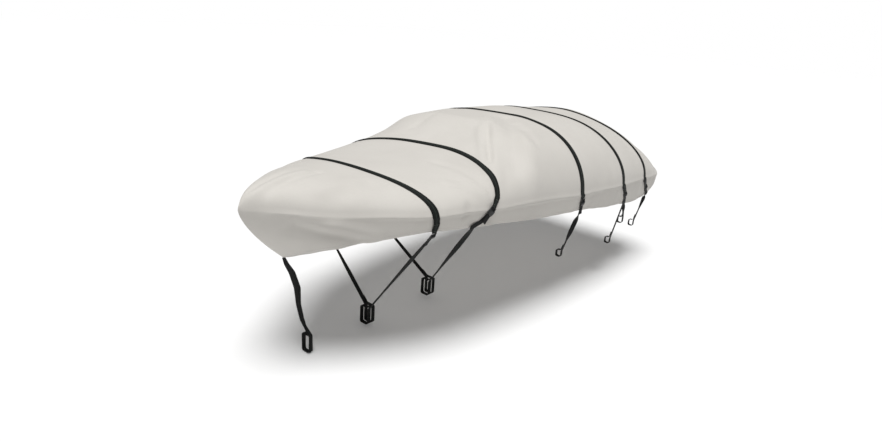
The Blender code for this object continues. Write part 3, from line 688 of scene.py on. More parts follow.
@dataclass
class Drape:
    """The cover's outer face as a surface, folds included."""

    frame: RowFrame
    length: float = 4.547
    stem_curve: float = 1.45
    sweep_start: float = 0.4
    nudge: float = 0.004
    press_depth: float = 0.004
    press_reach: float = 0.070
    crease_out: float = 0.0065
    crease_reach: tuple = (0.034, 0.026)  # above and below it
    crease_keen: float = 1.5
    hem_wide: float = 0.026
    hem_rise: float = 0.0011
    hem_edge: float = 0.006       # over which the turned-up edge rises
    hem_slack: float = 0.0016     # height of the hem's soft waves
    hem_waves: tuple = (0.21, 0.25, 3.1, 1.3)     # short length, its wander and rate, long length
    hem_reach: float = 0.11
    fold_crossing: float = 0.3    # how far past the crown a fold can reach, in g
    uneven: tuple = (0.18, 9.0, 40.0)     # how much a fold swells, how often, and its seed
    corner_share: float = 0.05    # of the transom's half width, over which its details fade
    fades: tuple = (0.10, 0.25, 0.06)     # from the bow for folds and crease, and to the stern

    def __post_init__(self) -> None:
        """Lay out the tables as arrays."""
        self.table = np.array(SECTIONS)
        self.knots = np.array([0.0] + [strap.x for strap in CROSS_STRAPS] + [self.length])
        still = (0.0, 0.0, 0.0)
        turns = [still] + [(strap.lean, strap.bend, strap.sweep) for strap in CROSS_STRAPS] + [still]
        self.turns = np.array(turns).T

    def sizes(self, x: np.ndarray) -> Section:
        """Return the cross-section's sizes at places along the boat."""
        x = np.clip(x, 0.0, self.length)
        return Section(x, *[smooth_through(x, self.table[:, 0], self.table[:, k]) for k in range(1, 9)])

    def line_x(self, u: np.ndarray, g: np.ndarray) -> np.ndarray:
        """Return x on the grid line u, which leans and bends as the straps do."""
        t = np.clip(g, -1.0, 1.0)
        lean, bend, sweep = [smooth_through(u, self.knots, values) for values in self.turns]
        past = np.maximum(t - self.sweep_start, 0.0) / (1.0 - self.sweep_start)
        return u - lean * self.sizes(u).beam * t + bend * t * t + sweep * past * past

    @staticmethod
    def dome(s: Section, g: np.ndarray) -> np.ndarray:
        """Return how high the top stands at g, from 0 at the crease to 1 at the crown."""
        return np.maximum(1.0 - np.minimum(np.abs(g), 1.0) ** s.flat, 0.0) ** (1.0 / s.upright)

    @staticmethod
    def below(s: Section, g: np.ndarray) -> np.ndarray:
        """Return how far the skirt hangs below the crease at g."""
        return np.maximum(np.abs(g) - 1.0, 0.0) * (s.crease - s.hem)

    def plain(self, x: np.ndarray, g: np.ndarray) -> np.ndarray:
        """Return the cloth's places at (x, g) before its folds, in the part's own frame."""
        x, g = np.broadcast_arrays(np.asarray(x, float), np.asarray(g, float))
        s = self.sizes(x)
        side = np.sign(g)
        drop = np.maximum(np.abs(g) - 1.0, 0.0)
        under = drop > 0
        px = x + s.rake * drop ** self.stem_curve
        py = np.where(under, side * (s.beam + (s.hem_half - s.beam) * drop), s.beam * g)
        high = s.crease + (s.crown - s.crease) * self.dome(s, g)
        pz = np.where(under, s.crease + (s.hem - s.crease) * drop, high)
        return np.stack((px, py, pz), axis=-1) - self.frame.shift

    def outward(self, surface: Callable, x: np.ndarray, g: np.ndarray) -> np.ndarray:
        """Return the outward directions of a surface, plain or draped, at (x, g)."""
        along = surface(x + self.nudge, g) - surface(x - self.nudge, g)
        across = surface(x, g + self.nudge) - surface(x, g - self.nudge)
        return unit(np.cross(along, across))

    def flat_place(self, x: np.ndarray, g: np.ndarray) -> np.ndarray:
        """Return (x, g) as places in metres on the cloth rolled out flat."""
        s = self.sizes(x)
        across = s.beam * np.clip(g, -1.0, 1.0) + np.sign(g) * self.below(s, g)
        return np.stack(np.broadcast_arrays(x, across), axis=-1)

    def fold_lift(self, x: np.ndarray, g: np.ndarray) -> np.ndarray:
        """Return how far the folds and ripples lift the cloth at (x, g)."""
        here = self.flat_place(x, g)
        swing, waves, seed = self.uneven
        lift = np.zeros(here.shape[:-1])
        for fold in FOLDS:
            start = self.flat_place(np.array(fold.x1), np.array(fold.g1))
            run = self.flat_place(np.array(fold.x2), np.array(fold.g2)) - start
            part = np.clip((here - start) @ run / (run @ run), 0.0, 1.0)
            aside = np.linalg.norm(here - start - part[..., None] * run, axis=-1) / fold.reach
            uneven = 1.0 + swing * np.sin(waves * part + seed * fold.x1)
            swell = fold.height * uneven * np.maximum(1.0 - aside ** 2, 0.0) ** fold.keen
            other_side = (fold.g1 * g < 0) & (np.abs(g) > self.fold_crossing)
            lift += np.where(other_side, 0.0, swell)
        for ripple in RIPPLES:
            turn = ripple.along * here[..., 0] + ripple.across * here[..., 1] + ripple.start
            lift += ripple.height * np.sin(2 * math.pi * turn)
        return lift * eased(np.asarray(x) / self.fades[0])

    def crease_lift(self, x: np.ndarray, g: np.ndarray) -> np.ndarray:
        """Return how far the cloth stands out along its crease, sharper below it than above."""
        s = self.sizes(x)
        above = (s.crown - s.crease) * self.dome(s, g) / self.crease_reach[0]
        part = np.where(np.abs(g) > 1.0, self.below(s, g) / self.crease_reach[1], above)
        keen = np.maximum(1.0 - part, 0.0) ** self.crease_keen
        return self.crease_out * keen * eased(np.asarray(x) / self.fades[1])

    def turned_up(self, up: np.ndarray) -> np.ndarray:
        """Return how far the turned-up hem stands out, up metres above its edge."""
        return self.hem_rise * (1.0 - eased((up - self.hem_wide + self.hem_edge / 2) / self.hem_edge))

    def corner_fade(self, share: np.ndarray) -> np.ndarray:
        """Return how far the transom's details have faded at a share of its half width."""
        return eased((1.0 - np.abs(share)) / self.corner_share)

    def hem_lift(self, x: np.ndarray, g: np.ndarray) -> np.ndarray:
        """Return how far the turned-up hem stands out, with its soft waves."""
        s = self.sizes(x)
        up = (2.0 - np.abs(g)) * (s.crease - s.hem)
        near = 1.0 - eased(up / self.hem_reach)
        short, wander, wander_rate, long = self.hem_waves
        wave = np.sin(2 * math.pi * (x / short + wander * np.sin(wander_rate * x)))
        wave = wave * np.sin(2 * math.pi * x / long)
        return (self.turned_up(up) + self.hem_slack * near * wave) * eased(np.asarray(x) / self.fades[0])

    def press_lift(self, u: np.ndarray) -> np.ndarray:
        """Return how far the cross straps press the cloth in on the grid line u."""
        nearest = np.min([np.abs(u - strap.x) for strap in CROSS_STRAPS], axis=0)
        return -self.press_depth * np.maximum(0.0, 1.0 - (nearest / self.press_reach) ** 2)

    def draped(self, u: np.ndarray, g: np.ndarray) -> np.ndarray:
        """Return the finished cloth's places on the grid line u at g."""
        u, g = np.broadcast_arrays(np.asarray(u, float), np.asarray(g, float))
        x = self.line_x(u, g)
        lift = self.fold_lift(x, g) + self.hem_lift(x, g) + self.crease_lift(x, g) + self.press_lift(u)
        lift = lift * eased((self.length - u) / self.fades[2])
        return self.plain(x, g) + self.outward(self.plain, x, g) * lift[..., None]


class Place(NamedTuple):
    """A place in the middle of a webbing, with unit vectors along it, across it and out."""

    middle: Vector
    along: Vector
    across: Vector
    out: Vector

    def moved(self, along: float = 0.0, out: float = 0.0) -> "Place":
        """Return the place shifted along and out."""
        return self._replace(middle=self.middle + self.along * along + self.out * out)


# ------------------------------------------------------------------ the cloth

@dataclass
class CoverCloth:
    """The cover: one cloth with its turned-up hem, and the stitching of the hem."""

    drape: Drape
    cells_across: int = 116
    skirt_rows: int = 16
    station_step: float = 0.0175
    thick: float = 0.002
    cut: tuple = (2.95, 4.95)
    cut_area: float = 11.44
    seam_rows: tuple = (0.0075, 0.0225)
    bow_lines: tuple = (0.0, 0.004, 0.010, 0.02)
    swag: tuple = (0.004, 5.0, 1.0)       # height, rate and start of the transom's slack

    def lines(self) -> np.ndarray:
        """Return the grid lines along the boat, closer together at the bow and at the straps."""
        half = StrapWeb.wide / 2
        fixed = [self.bow_lines[-1]]
        for strap in CROSS_STRAPS:
            fixed += [strap.x - half, strap.x + half]
        fixed.append(self.drape.length)
        found = list(self.bow_lines[:-1])
        for start, end in zip(fixed, fixed[1:]):
            steps = max(1, round((end - start) / self.station_step))
            found += list(np.linspace(start, end, steps, endpoint=False))
        return np.array(found + [self.drape.length])

    def columns(self) -> np.ndarray:
        """Return the values of g, closer together towards the creases."""
        skirt = -2.0 + np.arange(self.skirt_rows) / self.skirt_rows
        top = np.sin(math.pi * (np.arange(self.cells_across + 1) / self.cells_across - 0.5))
        return np.concatenate((skirt, top, -skirt[::-1]))

    def sheet(self) -> tuple:
        """Return the outer face as (places, faces, flat places)."""
        drape = self.drape
        lines, columns = self.lines(), self.columns()
        first, last = self.skirt_rows, self.skirt_rows + self.cells_across
        stem_g = -1.0 - np.arange(self.skirt_rows + 1) / self.skirt_rows
        places = [drape.plain(np.zeros(len(stem_g)), stem_g)]
        flats = [drape.flat_place(np.zeros(len(stem_g)), stem_g)]
        width = len(columns)
        body_u, body_g = np.meshgrid(lines[1:], columns, indexing="ij")
        places.append(drape.draped(body_u, body_g).reshape(-1, 3))
        flats.append(drape.flat_place(drape.line_x(body_u, body_g), body_g).reshape(-1, 2))
        start = self.skirt_rows + 1
        grid = np.arange((len(lines) - 1) * width).reshape(len(lines) - 1, width) + start
        stem = np.array([abs(min(max(j, first), last) - j) for j in range(width)])
        grid = np.vstack((stem, grid))
        faces = []
        for i in range(len(lines) - 1):
            for j in range(width - 1):
                corners = (grid[i, j], grid[i + 1, j], grid[i + 1, j + 1], grid[i, j + 1])
                faces.append(tuple(dict.fromkeys(int(c) for c in corners)))
        stern_places, stern_flats, stern_faces = self.transom(grid, np.concatenate(places))
        places.append(stern_places)
        flats.append(stern_flats)
        return np.concatenate(places), faces + stern_faces, np.concatenate(flats)

    def transom(self, grid: np.ndarray, places: np.ndarray) -> tuple:
        """Close the stern with rows from the last line of the top down to the transom's hem.

        Args:
            grid: vertex numbers by line and column.
            places: the places so far.

        Returns:
            The new places, their flat places and the faces.
        """
        first, last = self.skirt_rows, self.skirt_rows + self.cells_across
        stern = self.drape.sizes(np.array(self.drape.length))
        across = self.columns()[first + 1:last]
        hem = np.stack((np.full(len(across), self.drape.length + stern.rake), stern.hem_half * across,
                        np.full(len(across), stern.hem)), axis=-1) - self.drape.frame.shift
        above = grid[-1, first:last + 1]
        tops = places[grid[-1, first + 1:last]]
        new, flats, faces = [], [], []
        number = len(places)
        for k in range(1, self.skirt_rows + 1):
            drop = k / self.skirt_rows
            row_places = tops * (1 - drop) + hem * drop
            up = (1 - drop) * (tops[:, 2] - hem[:, 2])
            deep, rate, first_turn = self.swag
            swag = deep * np.sin(math.pi * drop) * np.sin(rate * across + first_turn)
            row_places[:, 0] += (self.drape.turned_up(up) + swag) * self.drape.corner_fade(across)
            inner = np.arange(number, number + len(across))
            number += len(across)
            row = np.concatenate(([grid[-1, first - k]], inner, [grid[-1, last + k]]))
            faces += [tuple(int(c) for c in (above[j], row[j], row[j + 1], above[j + 1]))
                      for j in range(self.cells_across)]
            new.append(row_places)
            astern = self.drape.length + (tops[:, 2] - row_places[:, 2])
            flats.append(np.stack((astern, row_places[:, 1]), axis=-1))
            above = row
        return np.concatenate(new), np.concatenate(flats), faces

    def build(self) -> BVHTree:
        """Make the cloth and its hem stitching, and return the cloth's outer face for seating."""
        places, faces, flats = self.sheet()
        mesh = mesh_of("cover_cloth", places.tolist(), faces)
        flat_map(mesh, flats)
        mesh.shade_smooth()
        piece = new_piece("cover_cloth", mesh, Finish.CANVAS)
        wall = piece.modifiers.new("cloth", "SOLIDIFY")
        wall.thickness = self.thick
        wall.offset = -1.0
        wall.use_even_offset = False
        wall.use_rim = True
        settled(piece)
        piece.data.shade_smooth()
        seams = HemSeam(self.drape, self.seam_rows).build()
        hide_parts("cover")
        return BVHTree.FromPolygons(places.tolist(), faces)


STITCH_NODES = {
    "enter": "NodeGroupInput", "leave": "NodeGroupOutput", "curve": "GeometryNodeMeshToCurve",
    "spread": "GeometryNodeResampleCurve", "body": "GeometryNodeMeshUVSphere",
    "place": "GeometryNodeInstanceOnPoints", "tangent": "GeometryNodeInputTangent",
    "turn": "FunctionNodeAlignRotationToVector", "halve": "ShaderNodeMath",
    "scale": "ShaderNodeCombineXYZ", "real": "GeometryNodeRealizeInstances",
    "paint": "GeometryNodeSetMaterial",
}
STITCH_LINKS = (
    # from   output    to       input
    ("enter", "Seams", "curve", 0), ("curve", 0, "spread", "Curve"), ("enter", "Pitch", "spread", "Length"),
    ("spread", 0, "place", "Points"), ("body", "Mesh", "place", "Instance"), ("tangent", 0, "turn", "Vector"),
    ("turn", 0, "place", "Rotation"), ("enter", "Long", "halve", 0), ("enter", "Thread", "scale", "X"),
    ("enter", "Thread", "scale", "Y"), ("halve", 0, "scale", "Z"), ("scale", 0, "place", "Scale"),
    ("place", 0, "real", 0), ("real", 0, "paint", "Geometry"), ("paint", 0, "leave", 0),
)


@dataclass(frozen=True)
class Stitches:
    """Stitches laid along seam lines, as a node tree with its sizes as inputs."""

    pitch: float
    long: float
    thread: float
    tree_name: str = "seam_stitches"
    sides: int = 6
    rings: int = 4

    def tree(self, material: bpy.types.Material) -> tuple:
        """Build the node tree.

        Args:
            material: what the stitches are made of.

        Returns:
            The tree and the identifiers of its named inputs.
        """
        tree = bpy.data.node_groups.new(self.tree_name, "GeometryNodeTree")
        tree.interface.new_socket("Seams", in_out="INPUT", socket_type="NodeSocketGeometry")
        names = {}
        for name in ("Pitch", "Long", "Thread"):
            socket = tree.interface.new_socket(name, in_out="INPUT", socket_type="NodeSocketFloat")
            names[name] = socket.identifier
        tree.interface.new_socket("Stitches", in_out="OUTPUT", socket_type="NodeSocketGeometry")
        nodes = {key: tree.nodes.new(kind) for key, kind in STITCH_NODES.items()}
        nodes["spread"].mode = "LENGTH"
        nodes["turn"].axis = "Z"
        nodes["halve"].operation = "MULTIPLY"
        values = (("body", "Segments", self.sides), ("body", "Rings", self.rings), ("body", "Radius", 1.0),
                  ("halve", 1, 0.5), ("paint", "Material", material))
        for key, name, value in values:
            nodes[key].inputs[name].default_value = value
        for start, output, end, name in STITCH_LINKS:
            tree.links.new(nodes[start].outputs[output], nodes[end].inputs[name])
        return tree, names

    def along(self, name: str, seams: Sequence[np.ndarray], finish: Finish, slot: str) -> bpy.types.Object:
        """Lay stitches along seam lines.

        Args:
            name: the piece's name.
            seams: each seam's places in order.
            finish: the thread's finish.
            slot: a material slot's name; not used.

        Returns:
            The stitches as one piece of plain mesh.
        """
        places, edges = [], []
        for seam in seams:
            start = len(places)
            places += [tuple(p) for p in seam]
            edges += [(k, k + 1) for k in range(start, start + len(seam) - 1)]
        piece = new_piece(name, mesh_of(name, places, [], edges), finish)
        tree, names = self.tree(finish.material())
        sewing = piece.modifiers.new("sewing", "NODES")
        sewing.node_group = tree
        for key, value in (("Pitch", self.pitch), ("Long", self.long), ("Thread", self.thread)):
            sewing[names[key]] = value
        settled(piece)
        piece.data.shade_smooth()
        return piece


@dataclass
class HemSeam:
    """Two rows of lockstitch along the hem, round the sides and across the transom."""

    drape: Drape
    rows: tuple
    step: float = 0.012
    proud: float = 0.0002
    stern_proud: float = 0.0008
    ends: tuple = (0.03, 0.02)            # from the bow tip, and from the stern corner
    stern_half: float = 0.82
    stern_scale: float = 0.86
    stitches: Stitches = Stitches(pitch=0.0062, long=0.0046, thread=0.00045)

    def side(self, up: float, side: float) -> np.ndarray:
        """Return one row along a side's hem, up metres above its edge."""
        u = np.arange(self.ends[0], self.drape.length - self.ends[1], self.step)
        sizes = self.drape.sizes(self.drape.line_x(u, np.full(len(u), side)))
        g = side * (2.0 - up / (sizes.crease - sizes.hem))
        return self.drape.draped(u, g) + self.drape.outward(self.drape.draped, u, g) * self.proud

    def stern(self, up: float) -> np.ndarray:
        """Return one row across the transom's hem."""
        sizes = self.drape.sizes(np.array(self.drape.length))
        y = np.arange(-self.stern_half, self.stern_half, self.step) * sizes.hem_half / self.stern_scale
        edge = self.drape.corner_fade(y / sizes.hem_half)
        x = self.drape.length + sizes.rake + self.drape.hem_rise * edge + self.stern_proud
        return np.stack((x, y, np.full(len(y), sizes.hem + up)), axis=-1) - self.drape.frame.shift

    def build(self) -> bpy.types.Object:
        """Sew both rows all round, and return the stitches."""
        seams = [self.side(up, side) for up in self.rows for side in (-1.0, 1.0)]
        seams += [self.stern(up) for up in self.rows]
        return self.stitches.along("hem_stitches", seams, Finish.HEM_THREAD, "cover_cloth")


# ------------------------------------------------------------------ webbings

@dataclass
class Webbing:
    """A flat webbing: rows of places across it, from one end to the other."""

    name: str
    finish: Finish
    slot: str
    cells: int = 6
    selvedge: float = 0.55        # thickness at the edges, as a share of the middle's
    roundness: float = 0.999      # just under 1, so that the edges keep their thickness
    sharp: float = 50.0

    def shares(self) -> np.ndarray:
        """Return the places across the webbing, from -1 to 1, closer together at the selvedges."""
        return np.sin(np.linspace(-0.5, 0.5, self.cells + 1) * math.pi)

    def build(self, inner: np.ndarray, out: np.ndarray, thick: np.ndarray) -> bpy.types.Object:
        """Make the webbing as one closed band.

        Args:
            inner: places of its inner face, by row and share.
            out: outward directions, by row and share.
            thick: thickness of each row.

        Returns:
            The webbing.
        """
        rows, wide = inner.shape[:2]
        shares = self.shares()
        bulge = (1 - self.selvedge) * np.sqrt(1 - shares ** 2 * self.roundness)
        wall = thick[:, None] * (self.selvedge + bulge)
        ease = (thick[:, None] - wall) / 2
        low = inner + out * ease[..., None]
        high = inner + out * (ease + wall)[..., None]
        ring = np.concatenate((low, high[:, ::-1]), axis=1)
        count = ring.shape[1]
        along = lengths(inner[:, wide // 2])
        across = np.concatenate(((shares + 1) / 2, (shares[::-1] + 1) / 2))
        flats = np.stack(np.meshgrid(along, across, indexing="ij")[::-1], axis=-1).reshape(-1, 2)
        faces = [(i * count + k, i * count + (k + 1) % count, (i + 1) * count + (k + 1) % count,
                  (i + 1) * count + k) for i in range(rows - 1) for k in range(count)]
        faces += [tuple(range(count))[::-1], tuple(range((rows - 1) * count, rows * count))]
        mesh = mesh_of(self.name, ring.reshape(-1, 3).tolist(), faces)
        flat_map(mesh, flats)
        bm = bmesh.new()
        bm.from_mesh(mesh)
        bmesh.ops.recalc_face_normals(bm, faces=bm.faces)
        if bm.calc_volume(signed=True) < 0:
            bmesh.ops.reverse_faces(bm, faces=bm.faces)
        bm.to_mesh(mesh)
        bm.free()
        mesh.shade_smooth()
        mesh.set_sharp_from_angle(angle=math.radians(self.sharp))
        piece = new_piece(self.name, mesh, self.finish)
        piece["length"] = float(along[-1])
        return piece

    def along(self, route: "Route", node: str = "", crumple: float = 0.0) -> bpy.types.Object:
        """Make the webbing along a route.

        Args:
            route: its way.
            node: the solid that it stands for, if any.
            crumple: how far it is gathered into folds along itself.

        Returns:
            The webbing.
        """
        piece = self.build(*route.rows(self.shares(), crumple))
        if node:
            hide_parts(node)
        return piece


class Route:
    """A webbing's way: places in order, made dense, eased and kept clear of the cloth."""

    step = 0.007
    closest = 0.0015              # of two places along the route
    reach = 0.080
    most = 0.02                   # that a place is lifted
    parts = (-0.5, -0.25, 0.0, 0.25, 0.5)
    gathers = (4.2, 11.0, 1.02)   # folds across and along a crumpled webbing, and where they end

    def __init__(self, places: Sequence[Place], widths: Sequence[float], thicks: Sequence[float]) -> None:
        """Lay the route through places.

        Args:
            places: the places that it passes.
            widths: the webbing's width at each.
            thicks: its thickness at each.
        """
        middles = np.array([p.middle for p in places])
        across = np.array([p.across for p in places])
        outs = np.array([p.out for p in places])
        at = lengths(middles)
        count = max(4, round(at[-1] / self.step))
        read = np.unique(np.concatenate((np.linspace(0, at[-1], count + 1), at)))
        read = read[np.concatenate(([True], np.diff(read) > self.closest))]
        self.middles = self.spread(read, at, middles)
        self.across = unit(self.spread(read, at, across))
        self.outs = unit(self.spread(read, at, outs))
        self.widths = np.interp(read, at, widths)
        self.thicks = np.interp(read, at, thicks)

    @staticmethod
    def spread(read: np.ndarray, at: np.ndarray, values: np.ndarray) -> np.ndarray:
        """Read each column of values at the lengths read."""
        return np.stack([np.interp(read, at, values[:, k]) for k in range(values.shape[1])], axis=1)

    def eased(self, passes: int) -> "Route":
        """Round off the kinks, with both ends kept, and square up the directions."""
        for _ in range(passes):
            for rows in (self.middles, self.across, self.outs):
                rows[1:-1] = (rows[:-2] + 2 * rows[1:-1] + rows[2:]) / 4
        along = unit(np.gradient(self.middles, axis=0))
        self.across = unit(self.across - along * np.sum(self.across * along, axis=1, keepdims=True))
        squared = np.cross(self.across, along)
        self.outs = squared * np.sign(np.sum(squared * self.outs, axis=1, keepdims=True))
        return self

    def cleared(self, cloth: BVHTree, gap: float) -> "Route":
        """Lift the route wherever it comes nearer to the cloth than the gap."""
        lifts = np.zeros(len(self.middles))
        for k, (middle, across, out) in enumerate(zip(self.middles, self.across, self.outs)):
            for part in self.parts:
                spot = Vector(middle + across * part * self.widths[k])
                height = stands_out(cloth, spot, Vector(out), self.reach)
                if height is not None:
                    lifts[k] = max(lifts[k], min(height + gap + self.thicks[k] / 2, self.most))
        spread = np.maximum.reduce([np.roll(lifts, k) for k in (-1, 0, 1)])
        spread[0], spread[-1] = lifts[0], lifts[-1]
        self.middles = self.middles + self.outs * spread[:, None]
        return self

    def rows(self, shares: np.ndarray, crumple: float = 0.0) -> tuple:
        """Return the webbing's rows (inner places, outward directions, thicknesses).

        Args:
            shares: places across it, from -1 to 1.
            crumple: how far the webbing is gathered into folds along itself.
        """
        wide = (self.across * self.widths[:, None] / 2)[:, None, :] * shares[None, :, None]
        inner = self.middles[:, None, :] + wide - (self.outs * self.thicks[:, None] / 2)[:, None, :]
        if crumple:
            folds, waves, stretch = self.gathers
            at = np.linspace(0, 1, len(self.middles))[:, None]
            swell = np.sin(math.pi * np.clip(at * stretch, 0, 1))
            gather = np.sin(folds * shares[None, :] + waves * at) * swell
            inner = inner + self.outs[:, None, :] * (crumple * gather)[..., None]
        outs = np.repeat(self.outs[:, None, :], len(shares), axis=1)
        return inner, outs, self.thicks


def air_place(middle: Vector, along: Vector, turn: float, side: float) -> Place:
    """Return the place of a webbing in the air, turned by some degrees about its own direction."""
    along = along.normalized()
    across = (Vector((1, 0, 0)) - along * along.x).normalized()
    across = Matrix.Rotation(math.radians(turn), 3, along) @ across
    return Place(middle, along, across, across.cross(along) * side)


def air_places(middles: Sequence[Vector], turns: Sequence[float], side: float) -> list:
    """Return a place at each middle along a webbing in the air."""
    found = []
    for k, middle in enumerate(middles):
        before = middles[max(k - 1, 0)]
        after = middles[min(k + 1, len(middles) - 1)]
        found.append(air_place(middle, after - before, turns[k], side))
    return found


@dataclass
class Seat:
    """Lays webbings and buckles on the cloth."""

    drape: Drape
    cloth: BVHTree
    gap: float = 0.0012
    thick: float = 0.002
    reach: float = 0.080
    halfway: tuple = (0.0, 0.17, 0.34, 0.51)
    parts: tuple = (-0.55, -0.28, 0.0, 0.28, 0.55)
    tests: int = 11               # along a buckle

    def height(self, place: Vector, out: Vector) -> float:
        """Return how far the cloth stands out past a place."""
        found = stands_out(self.cloth, place, out, self.reach)
        return -self.reach if found is None else found

    def laid(self, spots: Sequence[tuple], widths: Sequence[float], side: float) -> list:
        """Lay a webbing on the cloth through spots (x, g), and return its places."""
        places = [Vector(self.drape.plain(np.array(x), np.array(g))) for x, g in spots]
        found = []
        for k, (x, g) in enumerate(spots):
            before, after = places[max(k - 1, 0)], places[min(k + 1, len(places) - 1)]
            along = (after - before).normalized()
            out = Vector(self.drape.outward(self.drape.plain, np.array(x), np.array(g)))
            out = (out - along * out.dot(along)).normalized()
            across = out.cross(along) * -side
            lift = max(self.height(places[k].lerp(other, share) + across * (part * widths[k]), out)
                       for other in (before, after) for share in self.halfway for part in self.parts)
            found.append(Place(places[k] + out * (max(lift, 0.0) + self.gap + self.thick / 2),
                               along, across, out))
        return found

    def clear(self, place: Place, length: float, width: float) -> Place:
        """Return a buckle's top place, moved out until the whole buckle clears the cloth."""
        lift = 0.0
        for along in np.linspace(0.0, length, self.tests):
            for part in self.parts:
                spot = place.moved(along).middle + place.across * (part * width)
                lift = max(lift, self.height(spot, place.out) + self.gap + self.thick / 2)
        return place.moved(0.0, lift)


@dataclass
class StrapWeb:
    """One cross strap, its stitched ends, and where its buckles start."""

    strap: CrossStrap
    seat: Seat
    steps: int = 170
    seat_gap: float = 0.0010
    lip_out: float = 0.004
    bar_back: tuple = (0.012, 0.0150, 0.0640, 0.0665, 0.0690)
    bar_inset: float = 0.003
    bar_proud: float = 0.0003
    bar_steps: int = 12
    strap_thick: float = 0.0054
    arch: float = 0.0040
    arch_end: float = 4.0         # the arch fades over the last quarter of g
    most_g: float = 0.9995        # where the outward direction is still sure
    wide = STRAP_WIDE

    def top_rows(self, shares: np.ndarray) -> tuple:
        """Return the strap's rows where it lies on the top of the cover."""
        drape = self.seat.drape
        start = math.asin(self.strap.port_g)
        g = np.sin(np.linspace(start, math.pi / 2, self.steps))[:, None]
        u = self.strap.x + shares[None, :] * self.wide / 2
        g, u = np.broadcast_arrays(g, u)
        outs = drape.outward(drape.draped, u, np.clip(g, -self.most_g, self.most_g))
        fade = np.minimum(1.0, self.arch_end * (1.0 - np.abs(g[..., None])))
        arched = self.arch * (1.0 - shares[None, :, None] ** 2) * fade
        return drape.draped(u, g) + outs * (self.seat_gap + arched), outs

    def foot(self, foot: Foot, side: float) -> list:
        """Return the places of a strap's end. The last one is the buckle's top, turned its way."""
        spots = [(x, g) for x, g, _ in foot.route]
        widths = [width for _, _, width in foot.route]
        if foot.aim:
            places = self.seat.laid(spots + [foot.aim], widths + [Buckle.wide], side)
            last = places[-2]
            along = (places[-1].middle - last.middle).normalized()
            out = (last.out - along * last.out.dot(along)).normalized()
            turned = Place(last.middle, along, out.cross(along) * -side, out)
            places[-2:] = [self.seat.clear(turned, Buckle.long, Buckle.wide)]
            return places
        places = self.seat.laid(spots, widths, side)
        lip = places[-1].moved(0.0, self.lip_out).middle
        loop = Loop(self.seat.drape.frame.place(foot.anchor), foot.half).places(side)
        return places[:-1] + [air_place(lip, loop[0] - lip, 0.0, side)]

    def build(self) -> tuple:
        """Make the strap, and return it with its two end places and its stitched bars' lines."""
        web = Webbing(f"strap_{self.strap.number}_webbing", Finish.STRAP, "wide_webbing")
        shares = web.shares()
        top, top_outs = self.top_rows(shares)
        inner, outs = [top], [top_outs]
        thick = [np.full(len(top), self.strap_thick)]
        ends, bars = [], []
        for foot, side in ((self.strap.port, -1.0), (self.strap.starboard, 1.0)):
            edge, out = (top[0], top_outs[0]) if side < 0 else (top[-1], top_outs[-1])
            out_mid = Vector(out[len(shares) // 2])
            middle = Vector(edge.mean(axis=0)) + out_mid * (self.strap_thick / 2)
            across = Vector(edge[-1] - edge[0]).normalized()
            join = Place(middle, out_mid, across, out_mid)
            places = [join] + self.foot(foot, side)
            widths = [self.wide] + [width for _, _, width in foot.route]
            thicks = [self.strap_thick] * (len(places) - 1) + [self.seat.thick]
            route = Route(places, widths, thicks).eased(3).cleared(self.seat.cloth, self.seat_gap)
            bars += self.bar_lines(route)
            for rows, part in zip((inner, outs, thick), route.rows(shares)):
                rows.insert(0 if side < 0 else len(rows), part[:0:-1] if side < 0 else part[1:])
            ends.append(places[-1])
        piece = web.build(np.concatenate(inner), np.concatenate(outs), np.concatenate(thick))
        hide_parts(f"strap_{self.strap.number}")
        return piece, ends, bars

    def bar_lines(self, route: Route) -> list:
        """Return the lines of the stitched bars across the strap, just above the buckle."""
        back = lengths(route.middles[::-1])
        lines = []
        for distance in self.bar_back:
            if distance > back[-1]:
                continue
            k = len(route.middles) - 1 - int(np.argmin(np.abs(back - distance)))
            half = route.across[k] * (route.widths[k] / 2 - self.bar_inset)
            lift = route.middles[k] + route.outs[k] * (route.thicks[k] / 2 + self.bar_proud)
            lines.append(np.linspace(lift - half, lift + half, self.bar_steps))
        return lines


@dataclass
class Loop:
    """A tail's loop, and its lap back up the leg."""

    middle: Vector
    half: tuple
    corner: float = 0.012
    arc: float = 30.0
    lap_length: float = 0.070
    lap_share: float = 0.25
    lap_aside: float = 0.0075
    lap_rise: float = 0.0085

    def places(self, side: float) -> list:
        """Return the loop's places: down on the near side, under, up on the far side and over."""
        wide, high = self.half
        found = []
        for k, (across, up) in enumerate(((side, 1), (side, -1), (-side, -1), (-side, 1))):
            centre = self.middle + Vector((0, across * (wide - self.corner), up * (high - self.corner)))
            for turn in ((-self.arc, 0.0, self.arc) if k else (self.arc,)):
                angle = math.atan2(up, across) - side * math.radians(turn)
                found.append(centre + Vector((0, math.cos(angle), math.sin(angle))) * self.corner)
        return found

    def lap(self, start: Vector, side: float) -> list:
        """Return the lap's places beside the leg that comes from start."""
        top = self.places(side)[0]
        leg = start - top
        length = min(self.lap_length, self.lap_share * leg.length)
        leg.normalize()
        inward = Vector((0, -side, 0))
        aside = (inward - leg * inward.dot(leg)).normalized() * self.lap_aside
        steps = (self.lap_rise, (self.lap_rise + length) / 2, length)
        return [top + aside + leg * step for step in steps]


